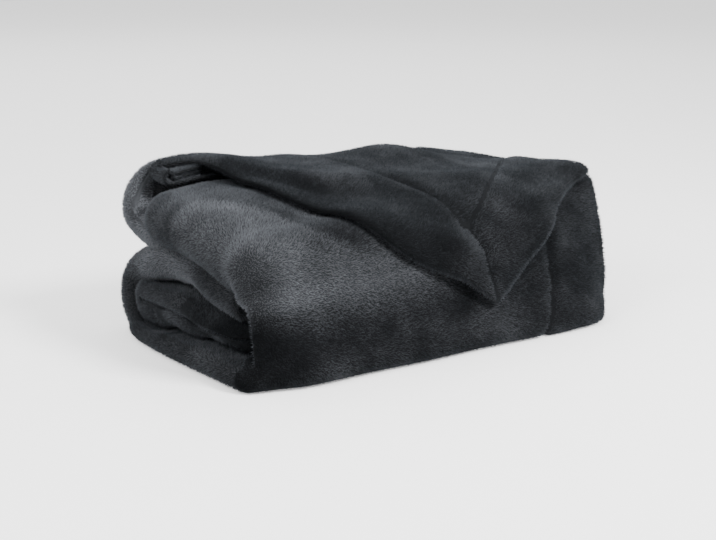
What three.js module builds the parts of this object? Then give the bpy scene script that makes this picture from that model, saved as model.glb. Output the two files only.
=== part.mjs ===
// A plush microfibre throw, folded for display. The cloth is one panel with a turned hem on all four
// sides. It is folded in half twice across its width, which makes a strip of four layers, and the strip
// then lies back and forth in eight bands. The end of the top layer is pulled round, so that its mitred
// corner hangs down over the front.
//
// Millimetres. X runs along the long front side, from the folded end to the hemmed end, Y runs from the
// front to the back, and Z is up. The throw lies on Z = 0. The tables count X from the folded end and Y
// from the front, and at the end the origin is moved to the middle of the throw.
import * as THREE from "three";

// Driving dimensions
const LENGTH = 313; // of the strip's outer layer, a quarter of the panel's width less its folds
const SHEET = 1.8; // thickness of the cloth without its pile
const HEM = 57; // width of the turned hem
const HEM_EXTRA = 0.6; // how much thicker the cloth is where the hem is turned
const SEAM = 6; // width over which it thickens
const BAND_GAP = 0.9; // what is left between one band and the next
const SECTION_X = [0, 40, 100, LENGTH]; // where the bands' four sections lie
const SWELL_FRONT = 10; // the bands begin to swell at this depth
const SWELL_BACK = 95; // and have their full height from this depth on
const REACH_WIDTH = 70; // how far along X the reach of a folded end is felt

// The bands from the floor up, with their heights at the front and at the back of each section.
// Reach is how far a band's folded end stands out at the left, at the front and at the back.
const BANDS = [
  { name: "floor", heights: [[15, 17], [14.5, 16.5], [12.5, 13.5], [14, 12.5]], reach: [6, 9] },
  { name: "coreLow", heights: [[11, 15.5], [11.5, 15.5], [12.5, 15], [14, 12.5]], reach: [-8, -1] },
  { name: "coreTop", heights: [[11, 16], [11.5, 15.5], [12.5, 15], [14, 12.5]], reach: [-8, 0] },
  { name: "ring", heights: [[12, 12.5], [12.5, 13], [13, 13.5], [14, 12.5]], reach: [-3, 4] },
  { name: "wrap", heights: [[11.5, 11.5], [12, 12.5], [13, 13.5], [14, 12.5]], reach: [-6, 6] },
  { name: "lobeLow", heights: [[14, 17.5], [15, 18], [15.5, 16], [14.5, 13.5]], reach: [-10, 2] },
  { name: "lobeTop", heights: [[16, 17], [17.5, 19.5], [18, 17], [15, 13.5]], reach: [-3, 8] },
  { name: "cover", heights: [[12, 11], [12, 14.5], [12, 12.5], [12, 13]], reach: [-8, -8] },
];

// The turns from band to band. Each is an oval arc whose pairs of values are for its lower and its upper
// half. Start is the depth at which it meets its bands, bulge is how far its middle line reaches, swell
// is what it adds to the height of its bands, and a squarer turn has fuller corners. Side is 1 at the
// back and -1 at the front.
const TURNS = {
  coverToWrap: {
    side: 1, from: "cover", to: "wrap", squareness: [2.1, 2.1],
    left: { start: [112, 160], bulge: [55, 11], swell: 10 },
    right: { start: [162, 162], bulge: [15, 14], swell: 0 },
  },
  wrapToRing: {
    side: -1, from: "wrap", to: "ring", squareness: [2, 2],
    left: { start: [37, 37], bulge: [6, 6], swell: 0 },
    right: { start: [50, 50], bulge: [6, 6], swell: 0 },
  },
  ringToFloor: {
    side: 1, from: "ring", to: "floor", squareness: [2.4, 2.2],
    left: { start: [148, 112], bulge: [21, 56], swell: 1 },
    right: { start: [163, 163], bulge: [15, 15], swell: 0 },
  },
  floorToLobe: {
    side: -1, from: "floor", to: "lobeTop", squareness: [4, 3],
    left: { start: [8, 34], bulge: [8, 27], swell: 0 },
    right: { start: [11, 36], bulge: [8, 18], swell: 0 },
  },
  lobeToLobe: {
    side: 1, from: "lobeTop", to: "lobeLow", squareness: [2, 2],
    left: { start: [119, 119], bulge: [9, 9], swell: 0 },
    right: { start: [156, 156], bulge: [7, 7], swell: 0 },
  },
  lobeToCore: {
    side: -1, from: "lobeLow", to: "coreTop", squareness: [2.4, 2.4],
    left: { start: [32, 34], bulge: [14, 14], swell: 0 },
    right: { start: [40, 42], bulge: [12, 12], swell: 0 },
  },
  coreToCore: {
    side: 1, from: "coreTop", to: "coreLow", squareness: [2, 2],
    left: { start: [136, 136], bulge: [9, 9], swell: 0 },
    right: { start: [157, 157], bulge: [7, 7], swell: 0 },
  },
};

// The large front turn leans out towards the floor, by these amounts at these places along it.
const BELLY = [[0, 0], [34, 4], [109, 9], [192, 14], [250, 19], [288, 15], [LENGTH, 2]];
const INNER_END = [[0, 14], [LENGTH, 28]]; // depth of the strip's inner end, on the lower core band

// The strip's way from its upper end to its inner end, with the steps of each stretch. Heading is 1
// towards the back.
const ROUTE = [
  { band: "cover", heading: 1, steps: 12 },
  { turn: "coverToWrap", steps: 7 },
  { band: "wrap", heading: -1, steps: 3 },
  { turn: "wrapToRing", steps: 4 },
  { band: "ring", heading: 1, steps: 3 },
  { turn: "ringToFloor", steps: 6 },
  { band: "floor", heading: -1, steps: 2 },
  { turn: "floorToLobe", steps: 10 },
  { band: "lobeTop", heading: 1, steps: 4 },
  { turn: "lobeToLobe", steps: 5 },
  { band: "lobeLow", heading: -1, steps: 3 },
  { turn: "lobeToCore", steps: 5 },
  { band: "coreTop", heading: 1, steps: 3 },
  { turn: "coreToCore", steps: 4 },
  { band: "coreLow", heading: -1, steps: 2 },
];

// The strip's four layers, from its outer one down, and the folds between them. The outer layer ends at
// the side hem, and the other side hem ends the layer next to it.
const OUTER_FOLD = { x: 8, reach: 4.5 }; // joins the outer and the lowest layer at the left
const CLOSED_FOLD = { x: LENGTH - 6, reach: 1.5 }; // joins the two lowest layers at the right
const INNER_FOLD = { x: 11, reach: 1.5 }; // joins the two middle layers at the left
const BEND_AT = 296; // the outer layer's station on its bend line
const OUTER_STATIONS = [LENGTH, 307, 302, BEND_AT, 276, 258, 229, 200, 168, 134, 100, 70, 40, OUTER_FOLD.x];
const INNER_STATIONS = [40, 100, 200];

// The top layer's pulled-round end, laid flat: y below the front's roll is measured down the front, and
// x beyond the length down the right end. The end hem runs from the folded side to the corner, and the
// side hem from the corner to the back. The layer bends down over the right end along its bend line,
// which leaves the end hem near the corner.
const END_HEM_LINE = [
  [12, 148], [32, 150], [47, 142], [57, 118], [70, 66], [86, 28], [112, -2], [148, -33], [191, -67],
];
const SIDE_HEM_LINE = [
  [191, -67], [238, -25], [280, 8], [318, 42], [336, 82], [332, 122], [316, 146], [LENGTH, 162],
];
const BEND_LINE = [[226, -22], [268, 10], [300, 42], [311, 80], [311, 122], [300, 148], [BEND_AT, 162]];
const BEND_FROM_CORNER = 20;
const ROLL = { x: 311, radius: 8 }; // where and how tightly it bends
const UNDER_END = [[0, 158], [60, 154], [100, 80], [200, 62], [LENGTH, 60]]; // the layers below end here

// The top layer sags in front of those ends, more from 8 to 45 mm away from them, but is held up near
// the right end. It has a crest along the end hem and a hump where it is gathered, and both fade out
// towards its back turn, over these shares of its depth.
const SAG = { depth: 8, distance: [8, 45], heldFrom: 230, heldFully: 305, onRoll: 15 };
const CREST = { rise: 6.5, climbs: [5, 45], falls: [60, 130], fades: [0.4, 0.95] };
const HUMP = { rise: 12, x: 195, y: 122, width: 55, depth: 42, fades: [0.75, 1] };
const FRONT_FADE = [-10, 40]; // and towards the front between these depths
const EDGE_LIFT = 2.5; // how far the hem stands off the front
const SETTLES = 45; // how far down the front the layer has come to rest against it

const bandAt = Object.fromEntries(BANDS.map((band, index) => [band.name, index]));
const lerp = (a, b, t) => a + (b - a) * t;
const clamp = (t) => Math.min(1, Math.max(0, t));
const smooth = (a, b, value) => {
  const t = clamp((value - a) / (b - a));
  return t * t * (3 - 2 * t);
};

// The second value of a table at a place along its first, with straight lines between its rows.
function tableAt(table, x) {
  const i = Math.max(1, table.findIndex(([place]) => place >= x));
  const [[x0, value0], [x1, value1]] = [table[i - 1], table[i]];
  return lerp(value0, value1, clamp((x - x0) / (x1 - x0)));
}

function bandHeight(index, x, y) {
  const depth = smooth(SWELL_FRONT, SWELL_BACK, y);
  const heights = BANDS[index].heights.map((section, i) => [SECTION_X[i], lerp(...section, depth)]);
  return tableAt(heights, x);
}

// The distance from one layer of a band to the next.
const layerPitch = (height) => (height - BAND_GAP) / 4;

const hemExtra = (fromSeam) => HEM_EXTRA * smooth(-SEAM / 2, SEAM / 2, fromSeam);

// The height of a band's middle. The floor band's lowest face lies on Z = 0 everywhere.
function bandMiddle(index, x, y) {
  const floorHeight = bandHeight(0, x, y);
  let z = 1.5 * layerPitch(floorHeight) + SHEET / 2 + hemExtra(x - LENGTH + HEM);
  for (let i = 1; i <= index; i += 1) {
    z += (bandHeight(i - 1, x, y) + bandHeight(i, x, y)) / 2;
  }
  return z;
}

function turnAt(name, x) {
  const { left, right, ...turn } = TURNS[name];
  const t = clamp(x / LENGTH);
  const fromIndex = bandAt[turn.from];
  const toIndex = bandAt[turn.to];
  const start = [lerp(left.start[0], right.start[0], t), lerp(left.start[1], right.start[1], t)];
  const bulge = [lerp(left.bulge[0], right.bulge[0], t), lerp(left.bulge[1], right.bulge[1], t)];
  const down = fromIndex > toIndex;
  if (name === "floorToLobe") start[0] -= tableAt(BELLY, x);
  return {
    ...turn, fromIndex, toIndex, start, bulge, down,
    swell: lerp(left.swell, right.swell, t),
    outward: turn.side * (down ? 1 : -1), // 1 where the strip's outer face is outside the turn
    fromStart: down ? start[1] : start[0],
    toStart: down ? start[0] : start[1],
  };
}

// A point on a turn, f of the way round it, for a layer k pitches and e millimetres out.
function onTurn(name, f, x, k, e) {
  const turn = turnAt(name, x);
  const fromZ = bandMiddle(turn.fromIndex, x, turn.fromStart);
  const toZ = bandMiddle(turn.toIndex, x, turn.toStart);
  const fromHeight = bandHeight(turn.fromIndex, x, turn.fromStart);
  const toHeight = bandHeight(turn.toIndex, x, turn.toStart);
  const height = lerp(fromHeight, toHeight, f) + turn.swell * Math.sin(Math.PI * f);
  const out = turn.outward * (k * layerPitch(height) + e);
  const angle = Math.PI * (f - 0.5) * (turn.down ? -1 : 1); // from the lowest point, -90 degrees
  const power = 2 / turn.squareness[angle < 0 ? 0 : 1];
  const across = Math.cos(angle) ** power;
  const rise = Math.sign(angle) * Math.abs(Math.sin(angle)) ** power;
  const upper = (rise + 1) / 2;
  const y = lerp(...turn.start, upper) + turn.side * (lerp(...turn.bulge, upper) + out) * across;
  const half = Math.abs(toZ - fromZ) / 2 + out;
  return { y, z: (fromZ + toZ) / 2 + half * rise };
}

// The two ends of a pass, in the direction of travel.
function passEnds(index, x) {
  const place = ROUTE.findIndex((stretch) => stretch.band === BANDS[index].name);
  const before = ROUTE[place - 1];
  const after = ROUTE[place + 1];
  return [
    before ? turnAt(before.turn, x).toStart : tableAt(UNDER_END, x),
    after ? turnAt(after.turn, x).fromStart : tableAt(INNER_END, x),
  ];
}

function onPass(stretch, f, x, k, e) {
  const index = bandAt[stretch.band];
  const y = lerp(...passEnds(index, x), f);
  const out = k * layerPitch(bandHeight(index, x, y)) + e;
  return { y, z: bandMiddle(index, x, y) + stretch.heading * out };
}

const bandReach = (index, y) => lerp(...BANDS[index].reach, smooth(0, SWELL_BACK, y));

// Where a point near the left end lies when its fold stands out by the given reach.
const shifted = (x, reach) => x - reach * (1 - smooth(0, REACH_WIDTH, x));

function foldReach(stretch, f, x) {
  if (stretch.band) {
    const index = bandAt[stretch.band];
    return bandReach(index, lerp(...passEnds(index, x), f));
  }
  const turn = turnAt(stretch.turn, x);
  return lerp(bandReach(turn.fromIndex, turn.fromStart), bandReach(turn.toIndex, turn.toStart), f);
}

// The pulled-round end
const HEM_SAMPLES = 40;
const splineOf = (points) => new THREE.SplineCurve(points.map(([x, y]) => new THREE.Vector2(x, y)));
const endHem = splineOf(END_HEM_LINE);
const sideHem = splineOf(SIDE_HEM_LINE);
const BEND_SHARE = 1 - BEND_FROM_CORNER / endHem.getLength();
const bendLine = splineOf([endHem.getPointAt(BEND_SHARE).toArray(), ...BEND_LINE]);
const endHemPoints = endHem.getSpacedPoints(HEM_SAMPLES);
const sideHemPoints = sideHem.getSpacedPoints(HEM_SAMPLES);

const distanceTo = (points, place) => Math.min(...points.map((point) => point.distanceTo(place)));

// Where the top layer passes into its back turn.
function backPlace(x) {
  const y = passEnds(bandAt.cover, x)[1];
  return new THREE.Vector2(shifted(x, bandReach(bandAt.cover, y)), y);
}

// A point of the top layer laid flat: s from the fold to the side hem, t from the end hem to the back.
function flatPlace(s, t) {
  const across = (a, b, amount) => a.clone().lerp(b, amount);
  const bend = BEND_AT / LENGTH;
  if (s > bend) return across(bendLine.getPointAt(t), sideHem.getPointAt(t), (s - bend) / (1 - bend));
  const along = s / bend;
  const between = across(endHem.getPointAt(along * BEND_SHARE), backPlace(s * LENGTH), t);
  const left = across(endHem.getPointAt(0), backPlace(0), t);
  const right = across(bendLine.getPointAt(0), backPlace(BEND_AT), t);
  return between.add(across(left, bendLine.getPointAt(t), along)).sub(across(left, right, along));
}

// The point a given way down the front, on the front turn's curve, out millimetres outside its middle.
const FRONT_STEPS = 30;
function downFront(way, x, out) {
  const pitch = layerPitch(bandHeight(bandAt.lobeTop, x, turnAt("floorToLobe", x).toStart));
  let last = onTurn("floorToLobe", 1, x, out / pitch, 0);
  let left = way;
  for (let i = 1; i <= FRONT_STEPS; i += 1) {
    const next = onTurn("floorToLobe", 1 - i / FRONT_STEPS, x, out / pitch, 0);
    const step = Math.hypot(next.y - last.y, next.z - last.z);
    if (step >= left || i === FRONT_STEPS) {
      return { y: lerp(last.y, next.y, left / step), z: lerp(last.z, next.z, left / step) };
    }
    left -= step;
    last = next;
  }
  return last;
}

// How far the top layer rises above its band, or sags below it.
function cornerRise(flat, fromEnd, t) {
  const bare = smooth(...SAG.distance, tableAt(UNDER_END, flat.x) - flat.y);
  const unheld = bare * (1 - smooth(SAG.heldFrom, SAG.heldFully, flat.x));
  const crest = CREST.rise * smooth(...CREST.climbs, fromEnd) * (1 - smooth(...CREST.falls, fromEnd));
  const away = ((flat.x - HUMP.x) / HUMP.width) ** 2 + ((flat.y - HUMP.y) / HUMP.depth) ** 2;
  const hump = HUMP.rise * Math.exp(-away);
  const raised = crest * (1 - smooth(...CREST.fades, t)) + hump * (1 - smooth(...HUMP.fades, t));
  const roll = turnAt("floorToLobe", Math.min(flat.x, LENGTH)).toStart;
  return raised * smooth(...FRONT_FADE, flat.y) - SAG.depth * unheld * smooth(-SAG.onRoll, 0, flat.y - roll);
}

function onCorner(s, t, e) {
  const flat = flatPlace(s, t);
  const fromEnd = distanceTo(endHemPoints, flat);
  const inHem = 1 - smooth(-SEAM / 2, SEAM / 2, Math.min(fromEnd, distanceTo(sideHemPoints, flat)) - HEM);
  const thick = e > 0 ? e + HEM_EXTRA * inHem : e;
  const x = Math.min(flat.x, LENGTH);
  const roll = turnAt("floorToLobe", x).toStart;
  const y = Math.max(flat.y, roll);
  const above = 1.5 * layerPitch(bandHeight(bandAt.cover, x, y)) + thick + cornerRise(flat, fromEnd, t);
  const top = bandMiddle(bandAt.cover, x, y) + above;
  if (flat.y < roll) {
    const onTop = top - bandMiddle(bandAt.lobeTop, x, y);
    const close = bandHeight(bandAt.lobeTop, x, roll) / 2 + SHEET / 2 + thick + EDGE_LIFT * inHem;
    const out = lerp(onTop, close, smooth(0, SETTLES, roll - flat.y));
    return { x, ...downFront(roll - flat.y, x, out) };
  }
  const over = flat.x - ROLL.x;
  if (over <= 0) return { x: flat.x, y: flat.y, z: top };
  const angle = Math.min(over / ROLL.radius, Math.PI / 2);
  const hanging = Math.max(0, over - ROLL.radius * angle);
  const radius = ROLL.radius + thick;
  return {
    x: ROLL.x + radius * Math.sin(angle),
    y: flat.y,
    z: top - radius * (1 - Math.cos(angle)) - hanging,
  };
}

// The profile across the strip. Each station has its place, its layer k and the direction of the sheet's
// outer face.
const layerStations = (k, up, places) => places.map((x) => ({ x, k, nx: 0, no: up }));

// A fold from layer to layer at one side of the strip. Rising is 1 where it goes to a higher layer, and
// outside is 1 where the sheet's outer face is outside the fold.
function foldStations(fold, { side, middle, radius, rising, outside, steps }) {
  const stations = [];
  for (let i = 1; i < steps; i += 1) {
    const angle = Math.PI * (i / steps);
    const turn = -rising * Math.cos(angle);
    stations.push({
      x: fold.x + side * fold.reach * Math.sin(angle),
      k: middle + radius * turn,
      nx: outside * side * Math.sin(angle),
      no: outside * turn,
    });
  }
  return stations;
}

const reversed = (places) => [...places].reverse();
const profile = [
  ...layerStations(1.5, 1, OUTER_STATIONS),
  ...foldStations(OUTER_FOLD, { side: -1, middle: 0, radius: 1.5, rising: -1, outside: 1, steps: 6 }),
  ...layerStations(-1.5, -1, [OUTER_FOLD.x, ...INNER_STATIONS, CLOSED_FOLD.x]),
  ...foldStations(CLOSED_FOLD, { side: 1, middle: -1, radius: 0.5, rising: 1, outside: 1, steps: 4 }),
  ...layerStations(-0.5, 1, [CLOSED_FOLD.x, ...reversed(INNER_STATIONS), INNER_FOLD.x]),
  ...foldStations(INNER_FOLD, { side: -1, middle: 0, radius: 0.5, rising: 1, outside: -1, steps: 4 }),
  ...layerStations(0.5, -1, [INNER_FOLD.x, ...INNER_STATIONS, CLOSED_FOLD.x]),
];

// A point of the cloth, on its outer face for side 1 and on its inner face for side -1.
function surfacePoint(stretch, f, station, side) {
  const outer = station.k === 1.5;
  if (stretch.band === "cover" && outer) return onCorner(station.x / LENGTH, f, side * (SHEET / 2));
  const hem = side > 0 && outer ? hemExtra(station.x - LENGTH + HEM) : 0;
  const e = side * (SHEET / 2) * station.no + hem;
  const reach = foldReach(stretch, f, station.x);
  const x = shifted(station.x, reach) + side * (SHEET / 2) * station.nx;
  const inside = clamp(x / LENGTH) * LENGTH;
  const place = stretch.turn
    ? onTurn(stretch.turn, f, inside, station.k, e)
    : onPass(stretch, f, inside, station.k, e);
  return { x, ...place };
}

// One ring round the profile for each step of the route, joined into a closed skin with two end faces.
function throwGeometry() {
  const rings = [];
  ROUTE.forEach((stretch, place) => {
    for (let i = place === 0 ? 0 : 1; i <= stretch.steps; i += 1) {
      const f = i / stretch.steps;
      const outer = profile.map((station) => surfacePoint(stretch, f, station, 1));
      const inner = profile.map((station) => surfacePoint(stretch, f, station, -1));
      rings.push([...outer, ...inner.reverse()]);
    }
  });
  const count = rings[0].length;
  const indices = [];
  const quad = (a, b, c, d) => indices.push(a, c, b, a, d, c);
  const mirrored = (a, b, c, d) => indices.push(a, d, b, b, d, c);
  for (let r = 0; r + 1 < rings.length; r += 1) {
    for (let i = 0; i < count; i += 1) {
      const next = (i + 1) % count;
      const split = rings[r][next].x < rings[r][i].x ? quad : mirrored; // the same way in every layer
      split(r * count + i, r * count + next, (r + 1) * count + next, (r + 1) * count + i);
    }
  }
  const last = (rings.length - 1) * count;
  for (let i = 0; i + 1 < profile.length; i += 1) {
    const mirror = count - 1 - i;
    quad(i, mirror, mirror - 1, i + 1);
    quad(last + i, last + i + 1, last + mirror - 1, last + mirror);
  }
  const geometry = new THREE.BufferGeometry();
  const positions = rings.flat().flatMap(({ x, y, z }) => [x, y, z]);
  geometry.setAttribute("position", new THREE.Float32BufferAttribute(positions, 3));
  geometry.setIndex(indices);
  geometry.computeBoundingBox();
  const { min, max } = geometry.boundingBox;
  geometry.translate(-(min.x + max.x) / 2, -(min.y + max.y) / 2, 0);
  geometry.computeVertexNormals();
  return geometry;
}

const plush = new THREE.MeshStandardMaterial({ color: 0x32363a, roughness: 0.95, metalness: 0 });
const foldedThrow = new THREE.Mesh(throwGeometry(), plush);
foldedThrow.name = "throw_panel";

const model = new THREE.Group();
model.add(foldedThrow);
export default model;
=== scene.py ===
"""A dark plush microfibre throw, folded for display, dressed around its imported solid.

The cloth is one sheet on the folds of the solid throw_panel, with its seams, mitre and creases, and a short
brushed pile stands on all of it that shows. Sizes are in millimetres where nothing else is said.
"""

import logging
import math
from dataclasses import dataclass, field
from enum import Enum

import bpy
import numpy as np
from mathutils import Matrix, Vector
from mathutils.bvhtree import BVHTree
from mathutils.kdtree import KDTree


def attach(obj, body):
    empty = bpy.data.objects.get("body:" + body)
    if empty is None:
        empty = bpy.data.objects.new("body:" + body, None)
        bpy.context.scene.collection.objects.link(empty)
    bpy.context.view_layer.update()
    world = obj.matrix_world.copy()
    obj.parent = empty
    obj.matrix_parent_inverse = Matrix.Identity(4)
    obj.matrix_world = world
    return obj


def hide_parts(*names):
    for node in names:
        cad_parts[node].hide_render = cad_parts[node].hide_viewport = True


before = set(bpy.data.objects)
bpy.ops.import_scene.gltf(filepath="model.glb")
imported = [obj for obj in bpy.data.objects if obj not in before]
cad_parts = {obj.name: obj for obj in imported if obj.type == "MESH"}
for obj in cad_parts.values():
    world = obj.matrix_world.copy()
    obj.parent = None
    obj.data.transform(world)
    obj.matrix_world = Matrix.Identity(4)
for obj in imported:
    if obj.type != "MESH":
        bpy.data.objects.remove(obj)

log = logging.getLogger("throw")
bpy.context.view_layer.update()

Array = np.ndarray
Pair = tuple[float, float]
Table = tuple[tuple[float, ...], tuple[float, ...]]  # rising places, and the value at each

MM = 0.001
NODE = "throw_panel"
BODY = "root"
SEED = 11
UV_NAME = "OFBake"
TIP = "pile_tip"  # point attribute: 0 at a tuft's root and 1 at its tip; the material paints shade towards the root with it
PAINTED_LIGHT = "painted_light_level"  # point attribute: painted light and shade, from 0 (painted shade) to 1 (painted light)

WHITE = (1.0, 1.0, 1.0, 1.0)

# The strip of four layers, as the solid has it. The tables count X from the folded end and Y from the front.
TABLE_ZERO = (-157.083, -83.443)  # where the tables' zero lies in the frame
LENGTH = 313.0  # the strip's, from its folded end to its hem
SHEET = 1.8  # the cloth's thickness without its pile
HEM = 57.0  # the width of its turned hem
LAYERS = 4  # of cloth in each band
OUTER_LAYER = 1.5  # the layer coordinate of the outermost one: so many pitches from the strip's middle
BEND_AT = 296.0  # from here on the pulled-round end bends down at the right
OUTER_FOLD_X = 8.0  # the fold round the left end begins here
OUTER_FOLD_STEPS = 22  # and goes round in so many steps
SEAM_HALF_WIDTH = 3.2  # how far to either side a row of stitches draws the cloth in
TABLE_BLEND = 14.0  # a table's corners are rounded over this length to either side
TABLE_READINGS = 5  # from so many readings
CHART_EDGE = 0.01  # the share of the cloth's chart that its cut edges take up at each side


def lerp(a: Array | float, b: Array | float, t: Array | float) -> Array | float:
    """Returns the value t of the way from a to b."""
    return a + (b - a) * t


def smooth(a: float, b: float, value: Array | float) -> Array | float:
    """Returns 0 below a, 1 above b and a soft step between them."""
    t = np.clip((value - a) / (b - a), 0.0, 1.0)
    return t * t * (3 - 2 * t)


def dip(gap: Array | float, half_width: float) -> Array | float:
    """Returns 1 where the gap is 0, and from there a soft fall to almost 0 at twice half_width."""
    return np.exp(-((gap / half_width) ** 2))


def table_at(xs: tuple[float, ...], values: tuple[float, ...], x: Array | float) -> Array:
    """Reads a short table at x, with its corners rounded.

    Args:
        xs: The places of the table's rows, rising.
        values: The value at each place.
        x: Where to read it.

    Returns:
        The value at each x.
    """
    offsets = np.linspace(-TABLE_BLEND, TABLE_BLEND, TABLE_READINGS)
    return np.mean([np.interp(x + offset, xs, values) for offset in offsets], axis=0)


def unit(vectors: Array) -> Array:
    """Returns the vectors at a length of 1."""
    return vectors / (np.linalg.norm(vectors, axis=-1, keepdims=True) + 1e-9)


def srgb(code: str) -> tuple[float, float, float, float]:
    """Converts an sRGB hex colour to linear values with an alpha of 1."""
    values = [int(code[i : i + 2], 16) / 255 for i in (0, 2, 4)]
    linear = [v / 12.92 if v <= 0.04045 else ((v + 0.055) / 1.055) ** 2.4 for v in values]
    return (*linear, 1.0)


def per_metre(size_mm: float) -> float:
    """Returns the texture scale at which one repeat is about size_mm long."""
    return 1000.0 / size_mm


@dataclass(frozen=True)
class Band:
    """One pass of the strip through the stack.

    Args:
        name: What the band is called; it is not used.
        front: Its height at the front of each section.
        back: Its height at the back of each section.
        reach: How far its folded end stands out at the left, at the front and at the back.
        roll: 1 where its inner side lies against its partner in a roll, -1 where its outer side does, or 0.
        covers: 1 where its folded end comes round that of its partner, and 0 where the two share the roll.
    """

    name: str
    front: tuple[float, ...]
    back: tuple[float, ...]
    reach: Pair
    roll: int = 0
    covers: float = 0.0


@dataclass(frozen=True)
class TurnEnd:
    """A turn's shape at one end of the strip. The pairs are for its lower and its upper half.

    Args:
        start: The depth at which it meets its bands.
        bulge: How far its middle line reaches.
        swell: What it adds to the height of its bands.
    """

    start: Pair
    bulge: Pair
    swell: float = 0.0


@dataclass(frozen=True)
class Turn:
    """An oval turn from one band to another.

    Args:
        side: 1 at the back and -1 at the front.
        source: The index of the band that it comes from.
        target: The index of the band that it goes to.
        squareness: How full its corners are, below and above.
        left: Its shape at the folded end.
        right: Its shape at the hemmed end.
        leans: Whether it leans out towards the floor.
        stands_out: How much further its folded end stands out at its middle.
        closes: How far its folded end closes over its hollow, from 0 to 1.
    """

    side: int
    source: int
    target: int
    squareness: Pair
    left: TurnEnd
    right: TurnEnd
    leans: bool = False
    stands_out: float = 0.0
    closes: float = 0.0


@dataclass(frozen=True)
class Stretch:
    """A stretch of the strip's way: a pass through a band, or a turn.

    Args:
        steps: How many rings of points it gets.
        band: The index of the band that it passes through, or None on a turn.
        turn: The turn, or None on a pass.
        heading: 1 towards the back and -1 towards the front, on a pass.
    """

    steps: int
    band: int | None = None
    turn: Turn | None = None
    heading: int = 1


BANDS = (
    Band("floor", (15, 14.5, 12.5, 14), (17, 16.5, 13.5, 12.5), (6, 12)),
    Band("core, lower", (11, 11.5, 12.5, 14), (15.5, 15.5, 15, 12.5), (-18, -2), 1),
    Band("core, upper", (11, 11.5, 12.5, 14), (16, 15.5, 15, 12.5), (-18, -2), 1),
    Band("ring", (12, 12.5, 13, 14), (12.5, 13, 13.5, 12.5), (-32, -24), -1, 1.0),
    Band("wrap", (11.5, 12, 13, 14), (11.5, 12.5, 13.5, 12.5), (-32, -20), 0),
    Band("lobe, lower", (14, 15, 15.5, 14.5), (17.5, 18, 16, 13.5), (-34, -28), 0),
    Band("lobe, upper", (16, 17.5, 18, 15), (17, 19.5, 17, 13.5), (-18, -9), 1, 1.0),
    Band("cover", (12, 12, 12, 12), (11, 14.5, 12.5, 13), (-8, -18)),
)
FLOOR, CORE_LOW, CORE_TOP, RING, WRAP, LOBE_LOW, LOBE_TOP, COVER = range(len(BANDS))

COVER_TO_WRAP = Turn(
    1, COVER, WRAP, (2.1, 2.1), TurnEnd((112, 160), (55, 11), 10), TurnEnd((162, 162), (15, 14)),
    stands_out=8.0, closes=1.0,
)
WRAP_TO_RING = Turn(-1, WRAP, RING, (2, 2), TurnEnd((37, 37), (6, 6)), TurnEnd((50, 50), (6, 6)))
RING_TO_FLOOR = Turn(
    1, RING, FLOOR, (2.4, 1.9), TurnEnd((148, 112), (21, 56), 1), TurnEnd((163, 163), (15, 15))
)
FLOOR_TO_LOBE = Turn(
    -1, FLOOR, LOBE_TOP, (4, 3), TurnEnd((8, 34), (8, 27)), TurnEnd((11, 36), (8, 18)), leans=True
)
LOBE_TO_LOBE = Turn(
    1, LOBE_TOP, LOBE_LOW, (2, 2), TurnEnd((125, 125), (9, 9)), TurnEnd((156, 156), (7, 7))
)
LOBE_TO_CORE = Turn(
    -1, LOBE_LOW, CORE_TOP, (2.4, 2.4), TurnEnd((37, 39), (14, 14)), TurnEnd((40, 42), (12, 12)),
    stands_out=-16.0,
)
CORE_TO_CORE = Turn(
    1, CORE_TOP, CORE_LOW, (2, 2), TurnEnd((145, 145), (9, 9)), TurnEnd((157, 157), (7, 7))
)

ROUTE = (
    Stretch(70, band=COVER, heading=1),
    Stretch(24, turn=COVER_TO_WRAP),
    Stretch(10, band=WRAP, heading=-1),
    Stretch(8, turn=WRAP_TO_RING),
    Stretch(10, band=RING, heading=1),
    Stretch(24, turn=RING_TO_FLOOR),
    Stretch(12, band=FLOOR, heading=-1),
    Stretch(46, turn=FLOOR_TO_LOBE),
    Stretch(14, band=LOBE_TOP, heading=1),
    Stretch(12, turn=LOBE_TO_LOBE),
    Stretch(9, band=LOBE_LOW, heading=-1),
    Stretch(10, turn=LOBE_TO_CORE),
    Stretch(9, band=CORE_TOP, heading=1),
    Stretch(10, turn=CORE_TO_CORE),
    Stretch(9, band=CORE_LOW, heading=-1),
)


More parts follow.
